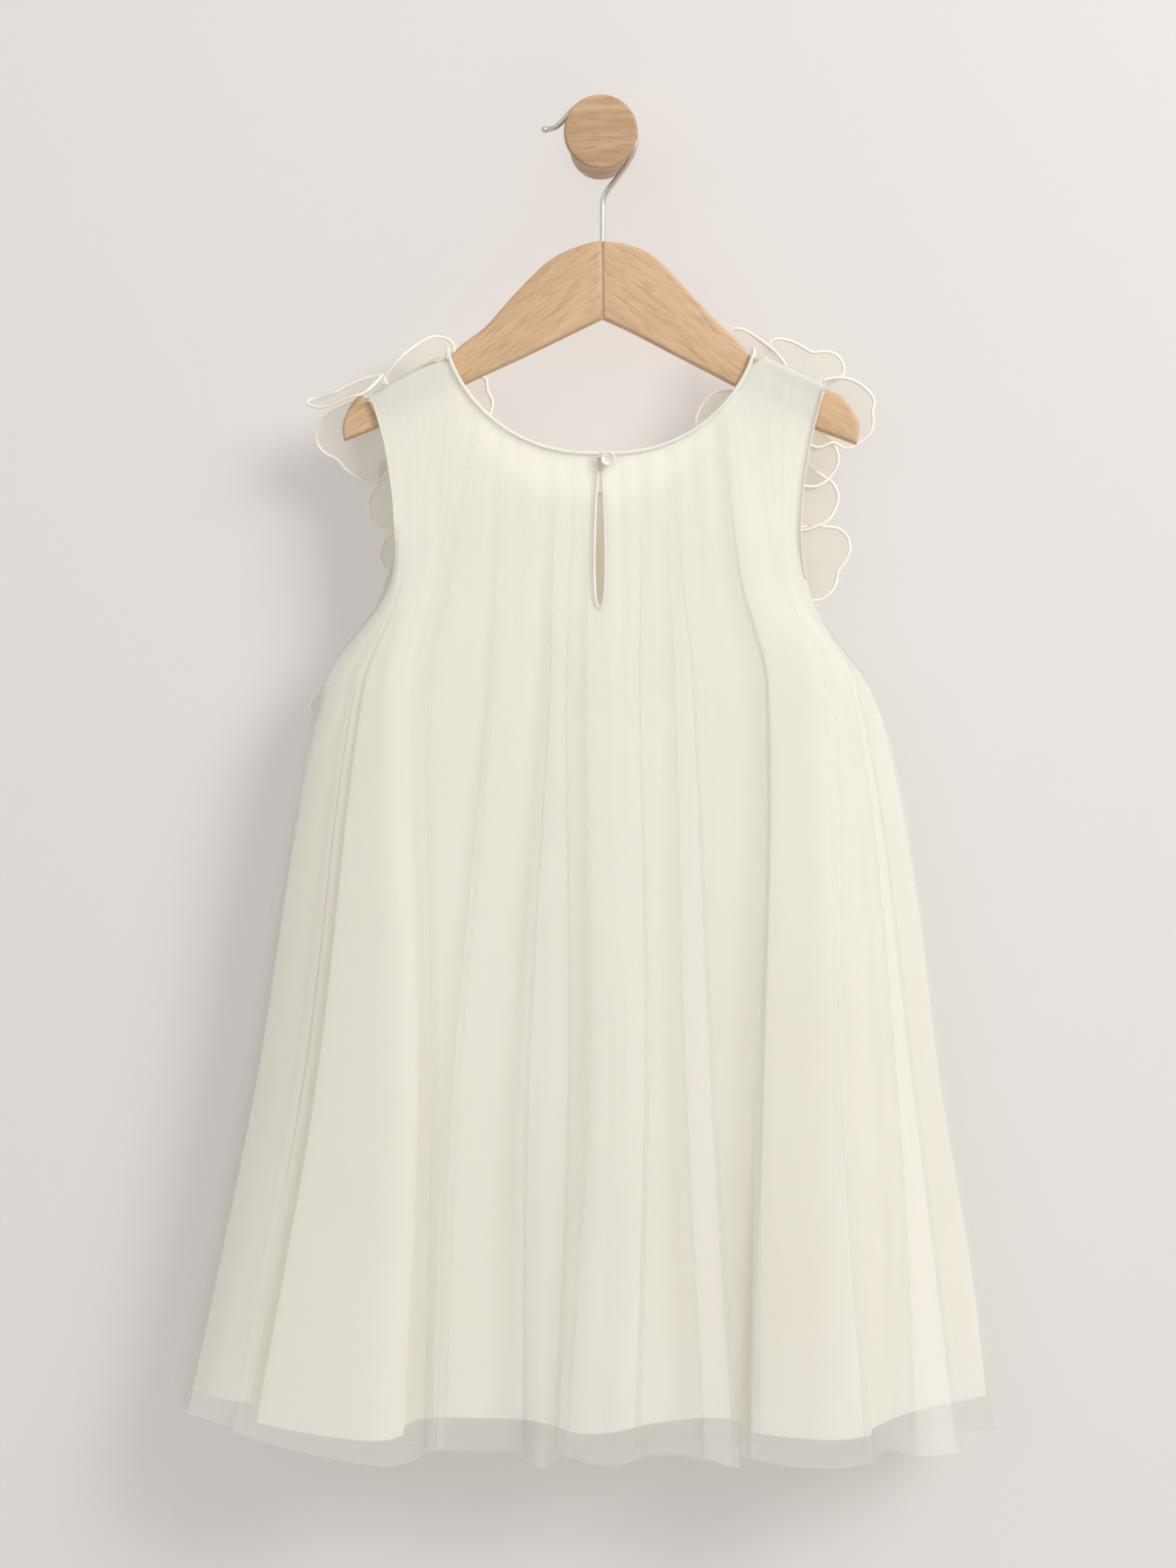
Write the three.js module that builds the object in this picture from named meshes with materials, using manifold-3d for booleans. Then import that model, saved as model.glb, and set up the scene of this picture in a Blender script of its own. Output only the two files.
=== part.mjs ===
// Flower girl dress on a wooden hanger, which hangs by its wire hook on a round wall peg.
// Millimetres, +Z up. The origin is the centre of the peg's back face, on the wall plane y = 0.
// The dress's back faces -Y, away from the wall. Its front, with the petals, faces the wall.
import * as THREE from "three";
import { mergeVertices } from "three/addons/utils/BufferGeometryUtils.js";
import Module from "manifold-3d";

const wasm = await Module();
wasm.setup();

// ---- Driving dimensions ----
const PEG_LENGTH = 70;
const PEG_HEAD_RADIUS = 21.4;
const PEG_NECK_RADIUS = 18;
const PEG_HEAD_THICKNESS = 9;
const PEG_ROUND = 2;

const HANGER_Y = -48; // middle plane of the hanger
const HANGER_THICKNESS = 12;
const HANGER_EDGE = 2; // rounding of the wood's edges
const MITRE_X = 0.9; // glue line between the two arms
const HANGER_TOP = -61.5;
const WIRE_RADIUS = 1.6;
const HOOK_TIP_RADIUS = 2.2;

const CLOTH = 1; // thickness of every cloth wall
const GAP = 0.3; // between pieces that touch
const PITCH = CLOTH + GAP; // from one layer to the next
const LAYERS = 3; // lining, inner tulle, outer tulle
const STACK = LAYERS * PITCH - GAP; // from the lining's inside to the outer tulle's outside
const HALF_WOOD = HANGER_THICKNESS / 2 + GAP;

const NECK_HALF = 89.3; // shoulder end of the neckline, from the middle
const NECK_TOP = -124.4;
const BACK_NECK_DROP = 61.2;
const FRONT_NECK_DROP = 84;
const STRAP_OUTER = { left: { x: -134.5, z: -150 }, right: { x: 131.1, z: -143 } };
const BINDING_WIDTH = 3;
const SEAM_LIFT = 0.5; // the shoulder seam stands a little proud of the arm
const LINING_INSET = 2.5; // how much lower than the tulle's the lining's neck edge is

const CHEST = -258; // bottom of the armholes
const RIB = -320; // the heights of a fold's rib and knee columns
const KNEE = -550;
const HEM = -765;
const SLIT_X = -0.6;
const SLIT_HALF = 2.8;
const SLIT_BOTTOM = -276;

const BACK_FLARE = 14; // how much further out the skirt stands at the hem than at the chest
const FRONT_FLARE = 10;
const TULLE_FLARE = 5; // more of the same for the tulle, which stands off the lining

const BUTTON = { x: 4.2, z: -189, radius: 4.4, thickness: 2.2 };
const SHANK_RADIUS = 1;
const LOOP = { cord: 0.5, radius: 2.1 };
const KNOT_RADIUS = 1.7;
const PETAL_STEP = 1.4; // from one petal to the next where they overlap

// ---- Materials ----
function material(color, roughness, metalness = 0) {
  return new THREE.MeshStandardMaterial({ color, roughness, metalness });
}
const satin = () => material(0xf1eddf, 0.55);
const tulle = () => material(0xf3f1e6, 0.8);
const organza = () => material(0xf0ede4, 0.6);
const beech = () => material(0xd9b78e, 0.5);

// ---- Curves ----
// A smooth curve through (knots[i], values[i]), for knots that rise or fall all the way.
function smooth(knots, values, at) {
  const last = knots.length - 1;
  const sign = Math.sign(knots[last] - knots[0]);
  let i = 0;
  while (i < last - 1 && sign * (at - knots[i + 1]) > 0) i += 1;
  const slope = (a, b) => (values[b] - values[a]) / (knots[b] - knots[a]);
  const step = knots[i + 1] - knots[i];
  const t = Math.min(1, Math.max(0, (at - knots[i]) / step));
  const m0 = slope(Math.max(0, i - 1), i + 1) * step;
  const m1 = slope(i, Math.min(last, i + 2)) * step;
  const rise = values[i + 1] - values[i];
  return values[i] + t * (m0 + t * (3 * rise - 2 * m0 - m1 + t * (m0 + m1 - 2 * rise)));
}

function ramp(at, start, end) {
  const t = Math.min(1, Math.max(0, (at - start) / (end - start)));
  return t * t * (3 - 2 * t);
}

function rows(names, table) {
  return table.map((row) => Object.fromEntries(names.map((name, i) => [name, row[i]])));
}

// ---- Closed bodies ----
function meshOf(name, positions, triangles, mat) {
  const geometry = new THREE.BufferGeometry();
  geometry.setAttribute("position", new THREE.Float32BufferAttribute(positions, 3));
  geometry.setIndex(triangles);
  geometry.computeVertexNormals();
  const mesh = new THREE.Mesh(geometry, mat);
  mesh.name = name;
  return mesh;
}

// A wall between two grids of points, outer[row][column] and inner[row][column]. Seen from
// outside, rows run down and columns run to the right. keep(row, column) says which cells exist.
function wall(name, outer, inner, mat, keep = () => true) {
  const columns = outer[0].length;
  const positions = [...outer.flat(), ...inner.flat()].flatMap((p) => [p.x, p.y, p.z]);
  const inside = outer.length * columns;
  const triangles = [];
  const edges = new Map();
  const quad = (a, b, c, d) => triangles.push(a, b, c, a, c, d);
  for (let r = 0; r < outer.length - 1; r += 1) {
    for (let c = 0; c < columns - 1; c += 1) {
      if (!keep(r, c)) continue;
      const corner = [r * columns + c, (r + 1) * columns + c];
      const ring = [corner[0], corner[1], corner[1] + 1, corner[0] + 1];
      quad(...ring);
      const [a, b, c2, d] = ring.map((i) => i + inside);
      triangles.push(a, c2, b, a, d, c2);
      ring.forEach((from, i) => edges.set(`${from},${ring[(i + 1) % 4]}`, [from, ring[(i + 1) % 4]]));
    }
  }
  for (const [from, to] of edges.values()) {
    if (!edges.has(`${to},${from}`)) quad(to, from, from + inside, to + inside);
  }
  return meshOf(name, positions, triangles, mat);
}

// A section of (across, up) points swept along a path, each path point with its own "up".
function sweep(name, path, ups, section, mat) {
  const positions = [];
  path.forEach((point, i) => {
    const ahead = path[Math.min(i + 1, path.length - 1)];
    const tangent = ahead.clone().sub(path[Math.max(i - 1, 0)]).normalize();
    const up = ups[i].clone().addScaledVector(tangent, -ups[i].dot(tangent)).normalize();
    const across = new THREE.Vector3().crossVectors(tangent, up);
    for (const [a, b] of section) {
      const p = point.clone().addScaledVector(across, a).addScaledVector(up, b);
      positions.push(p.x, p.y, p.z);
    }
  });
  const sides = section.length;
  const triangles = [];
  for (let i = 0; i < path.length - 1; i += 1) {
    for (let j = 0; j < sides; j += 1) {
      const a = i * sides + j;
      const b = i * sides + ((j + 1) % sides);
      triangles.push(a, b, b + sides, a, b + sides, a + sides);
    }
  }
  const end = (path.length - 1) * sides;
  for (let j = 1; j < sides - 1; j += 1) {
    triangles.push(0, j + 1, j, end, end + j, end + j + 1);
  }
  return meshOf(name, positions, triangles, mat);
}

function roundSection(radius, sides) {
  return Array.from({ length: sides }, (_, i) => {
    const turn = (-2 * Math.PI * i) / sides;
    return [radius * Math.cos(turn), radius * Math.sin(turn)];
  });
}

// ---- Outlines of the dress ----
// x of the dress's sides at each height: armhole edge down to the chest, then the side seam.
const SIDE = {
  left: rows(["z", "x", "lining"], [
    [-150, -134.5, -134.5],
    [-187, -124.8, -124.8],
    [-235, -120.4, -120.4],
    [-258, -125, -125],
    [-276, -132.5, -131],
    [-296, -148.5, -145],
    [-320, -162.5, -158],
    [-360, -173.5, -168.5],
    [-440, -190, -183.5],
    [-550, -209.5, -200.5],
    [-665, -234.7, -223.5],
    [-740, -252.5, -240],
  ]),
  right: rows(["z", "x", "lining"], [
    [-143, 131.1, 131.1],
    [-187, 121, 121],
    [-229, 116.9, 116.9],
    [-258, 120, 120],
    [-276, 126.5, 126],
    [-296, 139.5, 138],
    [-320, 157.5, 156],
    [-360, 171, 169],
    [-440, 186, 184],
    [-550, 200.5, 198],
    [-665, 219.5, 217],
    [-752, 230, 227],
  ]),
};

function sideX(side, z, column) {
  return smooth(SIDE[side].map((r) => r.z), SIDE[side].map((r) => r[column]), z);
}

function neckZ(x, drop) {
  const s = Math.min(1, Math.abs(x) / NECK_HALF);
  return NECK_TOP - drop * (1 - s ** 2.4) ** 0.7;
}

// Top of the strap, from the neck end to the armhole end.
function strapZ(x) {
  const outer = x < 0 ? STRAP_OUTER.left : STRAP_OUTER.right;
  const share = (Math.abs(x) - NECK_HALF) / (Math.abs(outer.x) - NECK_HALF);
  return NECK_TOP + (outer.z - NECK_TOP) * share;
}

// ---- Folds ----
// Each row is one line that runs down the cloth from the top edge: a crest, a fold's edge or the
// bottom of a recess. x at five heights, how far it stands out from the recesses at the rib and
// at the hem, and the height of the hem. The lining follows only the rows with a liningOut.
const FOLD_COLUMNS = [
  "top", "chest", "rib", "knee", "hem", "ribOut", "hemOut", "hemZ", "liningOut", "liningZ",
];
const BACK_FOLDS = rows(FOLD_COLUMNS, [
  [-127, -117.5, -141, -171, -197, 0, 0, -752, 0, -733],
  [-124, -116, -146.5, -178, -211, 3, 9, -758, null, null],
  [-117, -114, -133, -150, -172, 6, 19, -764, 12, -748],
  [-108, -110, -124, -114.5, -120.5, 8, 27, -767, 20, -753],
  [-91.7, -103, -110, -104, -106, 6, 22, -766, null, null],
  [-88.4, -95, -104, -97.5, -100, 4, 15, -764, 9, -750],
  [-76, -87, -98, -93.8, -96.5, 3, 11, -763, null, null],
  [-65, -75, -84, -90, -95, 0, 0, -760, 0, -745],
  [-57, -61.3, -64.7, -86, -93.3, 3, 10, -763, null, null],
  [-46, -48, -50, -63, -69.5, 5, 17, -767, 9, -744],
  [-36, -35, -36, -44, -41, 1, 2, -764, null, null],
  [-28, -28.6, -29.8, -43.2, -44.9, 4, 15, -769, null, null],
  [-22, -23, -24.5, -30, -35, 7, 25, -772, null, null],
  [-16.5, -17.7, -19.5, -17.1, -25.1, 4, 17, -769, null, null],
  [-12, -13, -14.5, -13, -27, 0, 1, -764, 1, -748],
  [-8, -7.5, -7.5, -8.6, -24, 3, 9, -768, null, null],
  [-3.4, -3.4, -3, -4, -12, 3, 13, -768, 6, -750],
  [2.2, 2.2, 3, 5, 0, 3, 13, -768, 6, -750],
  [13, 13, 13.5, 16, 12, 4, 16, -768, 8, -750],
  [24, 24, 24, 28, 22, 4, 14, -767, null, null],
  [31, 32, 32, 31, 25, 0, 1, -762, 0, -744],
  [38, 41, 44, 48, 61.5, 2, 8, -766, null, null],
  [45, 48, 55, 66.3, 81.2, 4, 15, -768, null, null],
  [56, 60, 62, 70, 77, 0, 1, -764, 0, -745],
  [68, 78, 94, 89.3, 82, 2, 9, -767, null, null],
  [77, 90, 108, 112, 112, 5, 22, -768, 14, -750],
  [88.4, 100, 122, 136.5, 144, 6, 26, -768, 19, -751],
  [91.7, 106, 134, 141.2, 156.7, 4, 17, -766, null, null],
  [110, 110, 141, 158, 174, 1, 6, -757, 4, -742],
  [122, 112.5, 149, 181, 204, 2, 10, -760, null, null],
]);
const FRONT_FOLDS = rows(FOLD_COLUMNS, [
  [-124, -115.5, -149, -190, -222, 2, 6, -752, 3, -736],
  [-110, -109, -134, -168, -198, 0, 0, -756, 0, -738],
  [-91.7, -100, -117, -147, -170, 4, 12, -764, 8, -745],
  [-88.8, -88, -98, -121, -139, 0, 0, -760, 0, -744],
  [-68, -72, -80, -98, -112, 4, 13, -767, 9, -748],
  [-50, -56, -61, -74, -84, 0, 1, -762, 0, -745],
  [-35, -39, -43, -51, -58, 4, 13, -768, 8, -749],
  [-21, -23, -25, -30, -35, 0, 1, -763, 0, -745],
  [-7, -8, -8, -8, -8, 4, 12, -768, 8, -748],
  [8, 9, 10, 12, 15, 0, 1, -763, 0, -745],
  [24, 26, 29, 36, 43, 4, 13, -768, 8, -749],
  [39, 43, 47, 57, 66, 0, 0, -762, 0, -745],
  [54, 61, 68, 82, 94, 4, 12, -767, 9, -748],
  [70, 79, 88, 107, 122, 0, 1, -761, 0, -744],
  [88.8, 94, 107, 131, 149, 4, 13, -764, 8, -746],
  [91.7, 102, 125, 152, 173, 0, 0, -757, 0, -740],
  [116, 111, 142, 176, 204, 2, 7, -757, 3, -740],
]);

// Heights that every panel has a row of points at, below its shoulder and neck rows.
const LEVELS = [CHEST, SLIT_BOTTOM, -296, RIB, -360, -440, KNEE, -665];
const UPPER_SHARES = [0.35, 0.68]; // rows between the top edge and the chest

const FRONT = {
  face: 1, flare: FRONT_FLARE, neckDrop: FRONT_NECK_DROP, folds: FRONT_FOLDS, slit: false,
};
const BACK = {
  face: -1, flare: BACK_FLARE, neckDrop: BACK_NECK_DROP, folds: BACK_FOLDS, slit: true,
};

// A line's top point: on the strap, or just inside the neck binding.
function topPoint(x, neckDrop, extra) {
  if (Math.abs(x) > NECK_HALF) return { x, z: strapZ(x), strap: true };
  const e = 0.5;
  const slope = (neckZ(x + e, neckDrop) - neckZ(x - e, neckDrop)) / (2 * e);
  const steep = Math.hypot(1, slope);
  const inset = (BINDING_WIDTH / 2 + GAP) / steep;
  const lower = extra * Math.min(steep, 3);
  return { x: x + inset * slope, z: neckZ(x, neckDrop) - inset - lower, strap: false };
}

// One line of a layer, as its point at each row. layer is "lining" or "tulle".
function linePoints(panel, fold, layer) {
  const top = topPoint(fold.top, panel.neckDrop, layer === "lining" ? LINING_INSET : 0);
  const hemZ = layer === "lining" ? fold.liningZ : fold.hemZ;
  const knots = [top.z, CHEST, RIB, KNEE, hemZ];
  const xs = [top.x, fold.chest, fold.rib, fold.knee, fold.hem];
  const hemOut = layer === "lining" ? fold.liningOut : fold.hemOut;
  const ribOut = layer === "lining" ? Math.min(fold.ribOut, hemOut) / 2 : fold.ribOut;
  const point = (z) => ({
    x: smooth(knots, xs, z),
    z,
    out: smooth([top.z, CHEST, RIB, HEM], [0, ribOut / 2, ribOut, hemOut], Math.max(z, HEM)),
  });
  return rowHeights(top, hemZ).map(point).map((p) => ({ ...p, strap: top.strap }));
}

function rowHeights(top, hemZ) {
  const start = top.z - HANGER_EDGE - STACK;
  const upper = UPPER_SHARES.map((share) => start + (CHEST - start) * share);
  return [top.z, top.z - 1.5, start, ...upper, ...LEVELS, hemZ];
}

function sidePoints(panel, side, layer) {
  const outer = STRAP_OUTER[side];
  const top = { x: outer.x, z: outer.z };
  const table = SIDE[side];
  const hemZ = layer === "lining" ? table.at(-1).z + 10 : table.at(-1).z;
  const column = layer === "lining" ? "lining" : "x";
  const point = (z) => ({ x: sideX(side, z, column), z, out: 0, strap: true, side });
  return rowHeights(top, hemZ).map(point);
}

// The layer's surface at distance d from the lining's inside, as [row][column] points. The
// folds' own x and out hold for the outermost tulle.
function surface(panel, layer, d) {
  const folds = panel.folds.filter((f) => layer === "tulle" || f.liningOut !== null);
  const lines = [
    sidePoints(panel, "left", layer),
    ...folds.map((f) => linePoints(panel, f, layer)),
    sidePoints(panel, "right", layer),
  ];
  return lines[0].map((_, row) => {
    const flat = lines.map((line) => {
      const p = line[row];
      const down = Math.max(0, (CHEST - p.z) / (CHEST - HEM));
      const hang = panel.flare * down + (layer === "tulle" ? TULLE_FLARE * down : 0);
      const open = p.side ? ramp(p.z, CHEST - 2, CHEST + 34) : 1;
      const seam = GAP / 2;
      const outward = seam + open * (HALF_WOOD + STACK - seam) + (p.side ? 0 : hang + p.out);
      return { ...p, y: outward, open };
    });
    return flat.map((p, column) => offsetPoint(panel, flat, column, row, d));
  });
}

// Moves a section's point inwards along the section's normal. y is measured outwards here.
function offsetPoint(panel, section, column, row, d) {
  const p = section[column];
  const before = section[Math.max(column - 1, 0)];
  const after = section[Math.min(column + 1, section.length - 1)];
  const normalOf = (a, b) => new THREE.Vector2(-(b.y - a.y), b.x - a.x).normalize();
  const mean = new THREE.Vector2();
  if (column > 0) mean.add(normalOf(before, p));
  if (column < section.length - 1) mean.add(normalOf(p, after));
  mean.normalize();
  if (p.side) {
    const outwards = new THREE.Vector2(p.side === "left" ? -1 : 1, 0);
    mean.set(0, 1).multiplyScalar(p.open).addScaledVector(outwards, 1 - p.open).normalize();
  }
  const seamY = panel.face * (GAP / 2);
  if (p.strap && row < 2) {
    // over the hanger's arm: the seam on top, then the arm's rounded edge
    const round = HANGER_EDGE + d;
    const seat = p.z + (row === 1 ? 1.5 : 0) - STACK - GAP;
    const turn = row === 0 ? 0 : Math.PI / 4;
    const y = HALF_WOOD - GAP - HANGER_EDGE + round * Math.sin(turn) + GAP * turn;
    const z = seat - HANGER_EDGE + round * Math.cos(turn) + GAP + SEAM_LIFT * (1 - turn);
    if (row === 0) return new THREE.Vector3(p.x, HANGER_Y + seamY, z);
    return new THREE.Vector3(p.x, HANGER_Y + panel.face * y, z);
  }
  const step = d - STACK;
  const x = p.x + mean.x * step;
  const y = p.y + mean.y * step;
  return new THREE.Vector3(x, HANGER_Y + panel.face * y, p.z);
}

// The cells left out of a panel: the slit, and the corner at each end of the neckline, which
// the binding fills.
function keptCells(panel, layer) {
  const folds = panel.folds.filter((f) => layer === "tulle" || f.liningOut !== null);
  const onStrap = [-Infinity, ...folds.map((f) => f.top), Infinity].map((x) => Math.abs(x) > NECK_HALF);
  const firstBelowSlit = 3 + UPPER_SHARES.length + 1;
  const slit = folds.filter((f) => f.top < SLIT_X).length;
  return (row, column) => {
    if (row < 2 && onStrap[column] !== onStrap[column + 1]) return false;
    return panel.slit ? column !== slit || row >= firstBelowSlit : true;
  };
}

function clothPanel(name, panel, layer, start, mat) {
  let outer = surface(panel, layer, start + CLOTH);
  let inner = surface(panel, layer, start);
  const keep = keptCells(panel, layer);
  if (panel.face < 0) return wall(name, outer, inner, mat, keep);
  // seen from outside, the front's columns run the other way
  outer = outer.map((row) => row.toReversed());
  inner = inner.map((row) => row.toReversed());
  const last = outer[0].length - 2;
  return wall(name, outer, inner, mat, (row, column) => keep(row, last - column));
}

// ---- Neck binding ----
// It follows the neck's end of every fold line, so that it meets the panels edge to edge.
function neckBinding() {
  const path = [];
  const ups = [];
  const depth = HALF_WOOD + STACK / 2;
  const addPoint = (x, z, face, up) => {
    path.push(new THREE.Vector3(x, HANGER_Y + face * depth, z));
    ups.push(up);
  };
  const addNeck = (panel, xs) => {
    for (const x of xs) {
      addPoint(x, neckZ(x, panel.neckDrop), panel.face, new THREE.Vector3(0, panel.face, 0));
    }
  };
  const addShoulder = (x, from) => {
    for (const face of [from, 0, -from]) {
      const reach = face * (1 - HANGER_EDGE / depth);
      addPoint(x, NECK_TOP - STACK / 2 + 2 * SEAM_LIFT, reach, new THREE.Vector3(0, face, 1));
    }
  };
  const neckTops = (panel) => panel.folds.map((f) => f.top).filter((x) => Math.abs(x) < NECK_HALF);
  const back = neckTops(BACK);
  addNeck(BACK, back.filter((x) => x < SLIT_X).toReversed());
  addShoulder(-NECK_HALF, -1);
  addNeck(FRONT, neckTops(FRONT));
  addShoulder(NECK_HALF, 1);
  addNeck(BACK, back.filter((x) => x > SLIT_X).toReversed());
  const a = BINDING_WIDTH / 2;
  const b = STACK / 2;
  const section = [[-a, -b], [-a, b], [a, b], [a, -b]];
  return sweep("neck_binding", path, ups, section, satin());
}

// ---- Solids joined or cut ----
function solidOf(geometry) {
  const plain = geometry.clone();
  plain.deleteAttribute("normal");
  plain.deleteAttribute("uv");
  const merged = mergeVertices(plain, 1e-4);
  const mesh = new wasm.Mesh({
    numProp: 3,
    vertProperties: new Float32Array(merged.attributes.position.array),
    triVerts: new Uint32Array(merged.index.array),
  });
  return new wasm.Manifold(mesh);
}

function meshOfSolid(name, solid, mat) {
  const { vertProperties, triVerts } = solid.getMesh();
  return meshOf(name, Array.from(vertProperties), Array.from(triVerts), mat);
}

// A cylinder along Y.
function rod(radius, length, sides, x, y, z) {
  return new THREE.CylinderGeometry(radius, radius, length, sides).translate(x, y, z);
}

// ---- Hanger, hook and peg ----
// Edges of one arm as [x, z], from the mitre out to the tip. The strap's scoop lies between
// the top edge's two parts.
const ARMS = {
  left: {
    top: [[-15.5, -65.3], [-29.8, -72.7], [-41.8, -83.6], [-53.2, -95.6], [-67.6, -111.6], [-80, -121]],
    scoop: [-86, -136],
    end: [[-138.6, -151.6], [-143.1, -153.4], [-149.4, -164.9], [-150.6, -172.3], [-149.6, -177.5]],
    bottom: [[-130.5, -170], [-77.3, -143.7], [-42.9, -127.7], [-15, -114.2]],
  },
  right: {
    top: [[15, -63.3], [27.5, -68.1], [38, -76.6], [49.8, -89.3], [67, -107.6], [80, -119.8]],
    scoop: [86, 131],
    end: [[134, -148.8], [139.1, -151.1], [146.6, -159.7], [150.9, -168.3], [149.4, -179.8]],
    bottom: [[124.8, -170.6], [76.7, -144.8], [42, -126.8], [17.2, -113.9]],
  },
};
const HANGER_CROTCH = -106.5; // where the arms' lower edges meet at the mitre

function hangerArm(side) {
  const arm = ARMS[side];
  const sign = side === "left" ? -1 : 1;
  const mitre = MITRE_X + (sign * GAP) / 2;
  const scoop = arm.scoop.map((x) => [x, strapZ(x) - STACK - 2 * GAP]);
  const outline = [
    [mitre, HANGER_TOP], ...arm.top, ...scoop, ...arm.end, ...arm.bottom, [mitre, HANGER_CROTCH],
  ];
  const shape = new THREE.Shape(outline.map(([x, z]) => new THREE.Vector2(x, z)));
  const bevel = HANGER_EDGE;
  const geometry = new THREE.ExtrudeGeometry(shape, {
    depth: HANGER_THICKNESS - 2 * bevel,
    bevelThickness: bevel,
    bevelSize: bevel,
    bevelOffset: -bevel,
    bevelSegments: 2,
  });
  geometry.rotateX(Math.PI / 2);
  geometry.translate(0, HANGER_Y + HANGER_THICKNESS / 2 - bevel, 0);
  const mesh = new THREE.Mesh(geometry, beech());
  mesh.name = `hanger_arm_${side}`;
  return mesh;
}

// The wire stands on the mitre, leans out, goes over the peg and ends in a ball.
const HOOK_ROUTE = [
  [1.1, HANGER_TOP + GAP], [1.1, -48], [1.3, -38], [4.2, -31], [11, -22], [17.2, -12.8],
  [20.3, -4], [19.6, 5.2], [15.6, 12.6], [9, 18], [0.5, 20.2], [-8, 20.1], [-14.5, 17.3],
  [-19.5, 12.6], [-23.6, 8], [-27.6, 5], [-32.6, 4.3],
];

function hook() {
  const points = HOOK_ROUTE.map(([x, z]) => new THREE.Vector3(x, HANGER_Y, z));
  const curve = new THREE.CatmullRomCurve3(points, false, "centripetal");
  const path = curve.getPoints(44);
  const ups = path.map(() => new THREE.Vector3(0, 1, 0));
  const steel = material(0xb9b6b0, 0.3, 1);
  const wire = sweep("wire", path, ups, roundSection(WIRE_RADIUS, 8), steel);
  const ball = new THREE.SphereGeometry(HOOK_TIP_RADIUS, 10, 8);
  ball.translate(...points.at(-1).toArray());
  const whole = solidOf(wire.geometry).add(solidOf(ball));
  return meshOfSolid("hook_wire", whole, steel);
}

function peg() {
  const front = -PEG_LENGTH;
  const back = front + PEG_HEAD_THICKNESS;
  const r = PEG_HEAD_RADIUS;
  const profile = [
    [0, front], [r - PEG_ROUND, front], [r - 0.6, front + 0.6], [r, front + PEG_ROUND],
    [r, back - PEG_ROUND], [PEG_NECK_RADIUS, back], [PEG_NECK_RADIUS, 0], [0, 0],
  ];
  const points = profile.map(([radius, y]) => new THREE.Vector2(radius, y));
  const mesh = new THREE.Mesh(new THREE.LatheGeometry(points, 40), beech());
  mesh.name = "wall_peg";
  return mesh;
}

// ---- Button, loop and knot ----
const BACK_FACE = HANGER_Y - HALF_WOOD - STACK; // outside of the back at the neck
const LOOP_Y = BACK_FACE - GAP - 2 * LOOP.cord;

function button() {
  const { x, z, radius, thickness } = BUTTON;
  const under = LOOP_Y - LOOP.cord - GAP;
  const discY = under - thickness / 2;
  let solid = solidOf(rod(radius, thickness, 20, x, discY, z));
  for (const [dx, dz] of [[-1, -1], [1, -1], [-1, 1], [1, 1]]) {
    const hole = rod(0.55, thickness + 2, 8, x + dx, discY, z + dz);
    solid = solid.subtract(solidOf(hole));
  }
  const shankLength = BACK_FACE - 2 * GAP - under + thickness / 2;
  const shankY = (BACK_FACE - 2 * GAP + under - thickness / 2) / 2;
  solid = solid.add(solidOf(rod(SHANK_RADIUS, shankLength, 10, x, shankY, z)));
  return meshOfSolid("button", solid, material(0xe9e4d6, 0.35));
}

function buttonLoop() {
  const end = SLIT_X - SLIT_HALF - 1.5;
  const points = [[end, BUTTON.z + 1]];
  for (let turn = 130; turn >= -130; turn -= 26) {
    const angle = THREE.MathUtils.degToRad(turn);
    points.push([BUTTON.x + LOOP.radius * Math.cos(angle), BUTTON.z + LOOP.radius * Math.sin(angle)]);
  }
  points.push([end, BUTTON.z - 1]);
  const path = points.map(([x, z]) => new THREE.Vector3(x, LOOP_Y, z));
  const ups = path.map(() => new THREE.Vector3(0, 1, 0));
  return sweep("button_loop", path, ups, roundSection(LOOP.cord, 6), satin());
}

function knot() {
  const x = -127;
  const geometry = new THREE.SphereGeometry(KNOT_RADIUS, 10, 8);
  geometry.translate(x, HANGER_Y, strapZ(x) + SEAM_LIFT + GAP + KNOT_RADIUS);
  const mesh = new THREE.Mesh(geometry, organza());
  mesh.name = "petal_knot";
  return mesh;
}

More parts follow.
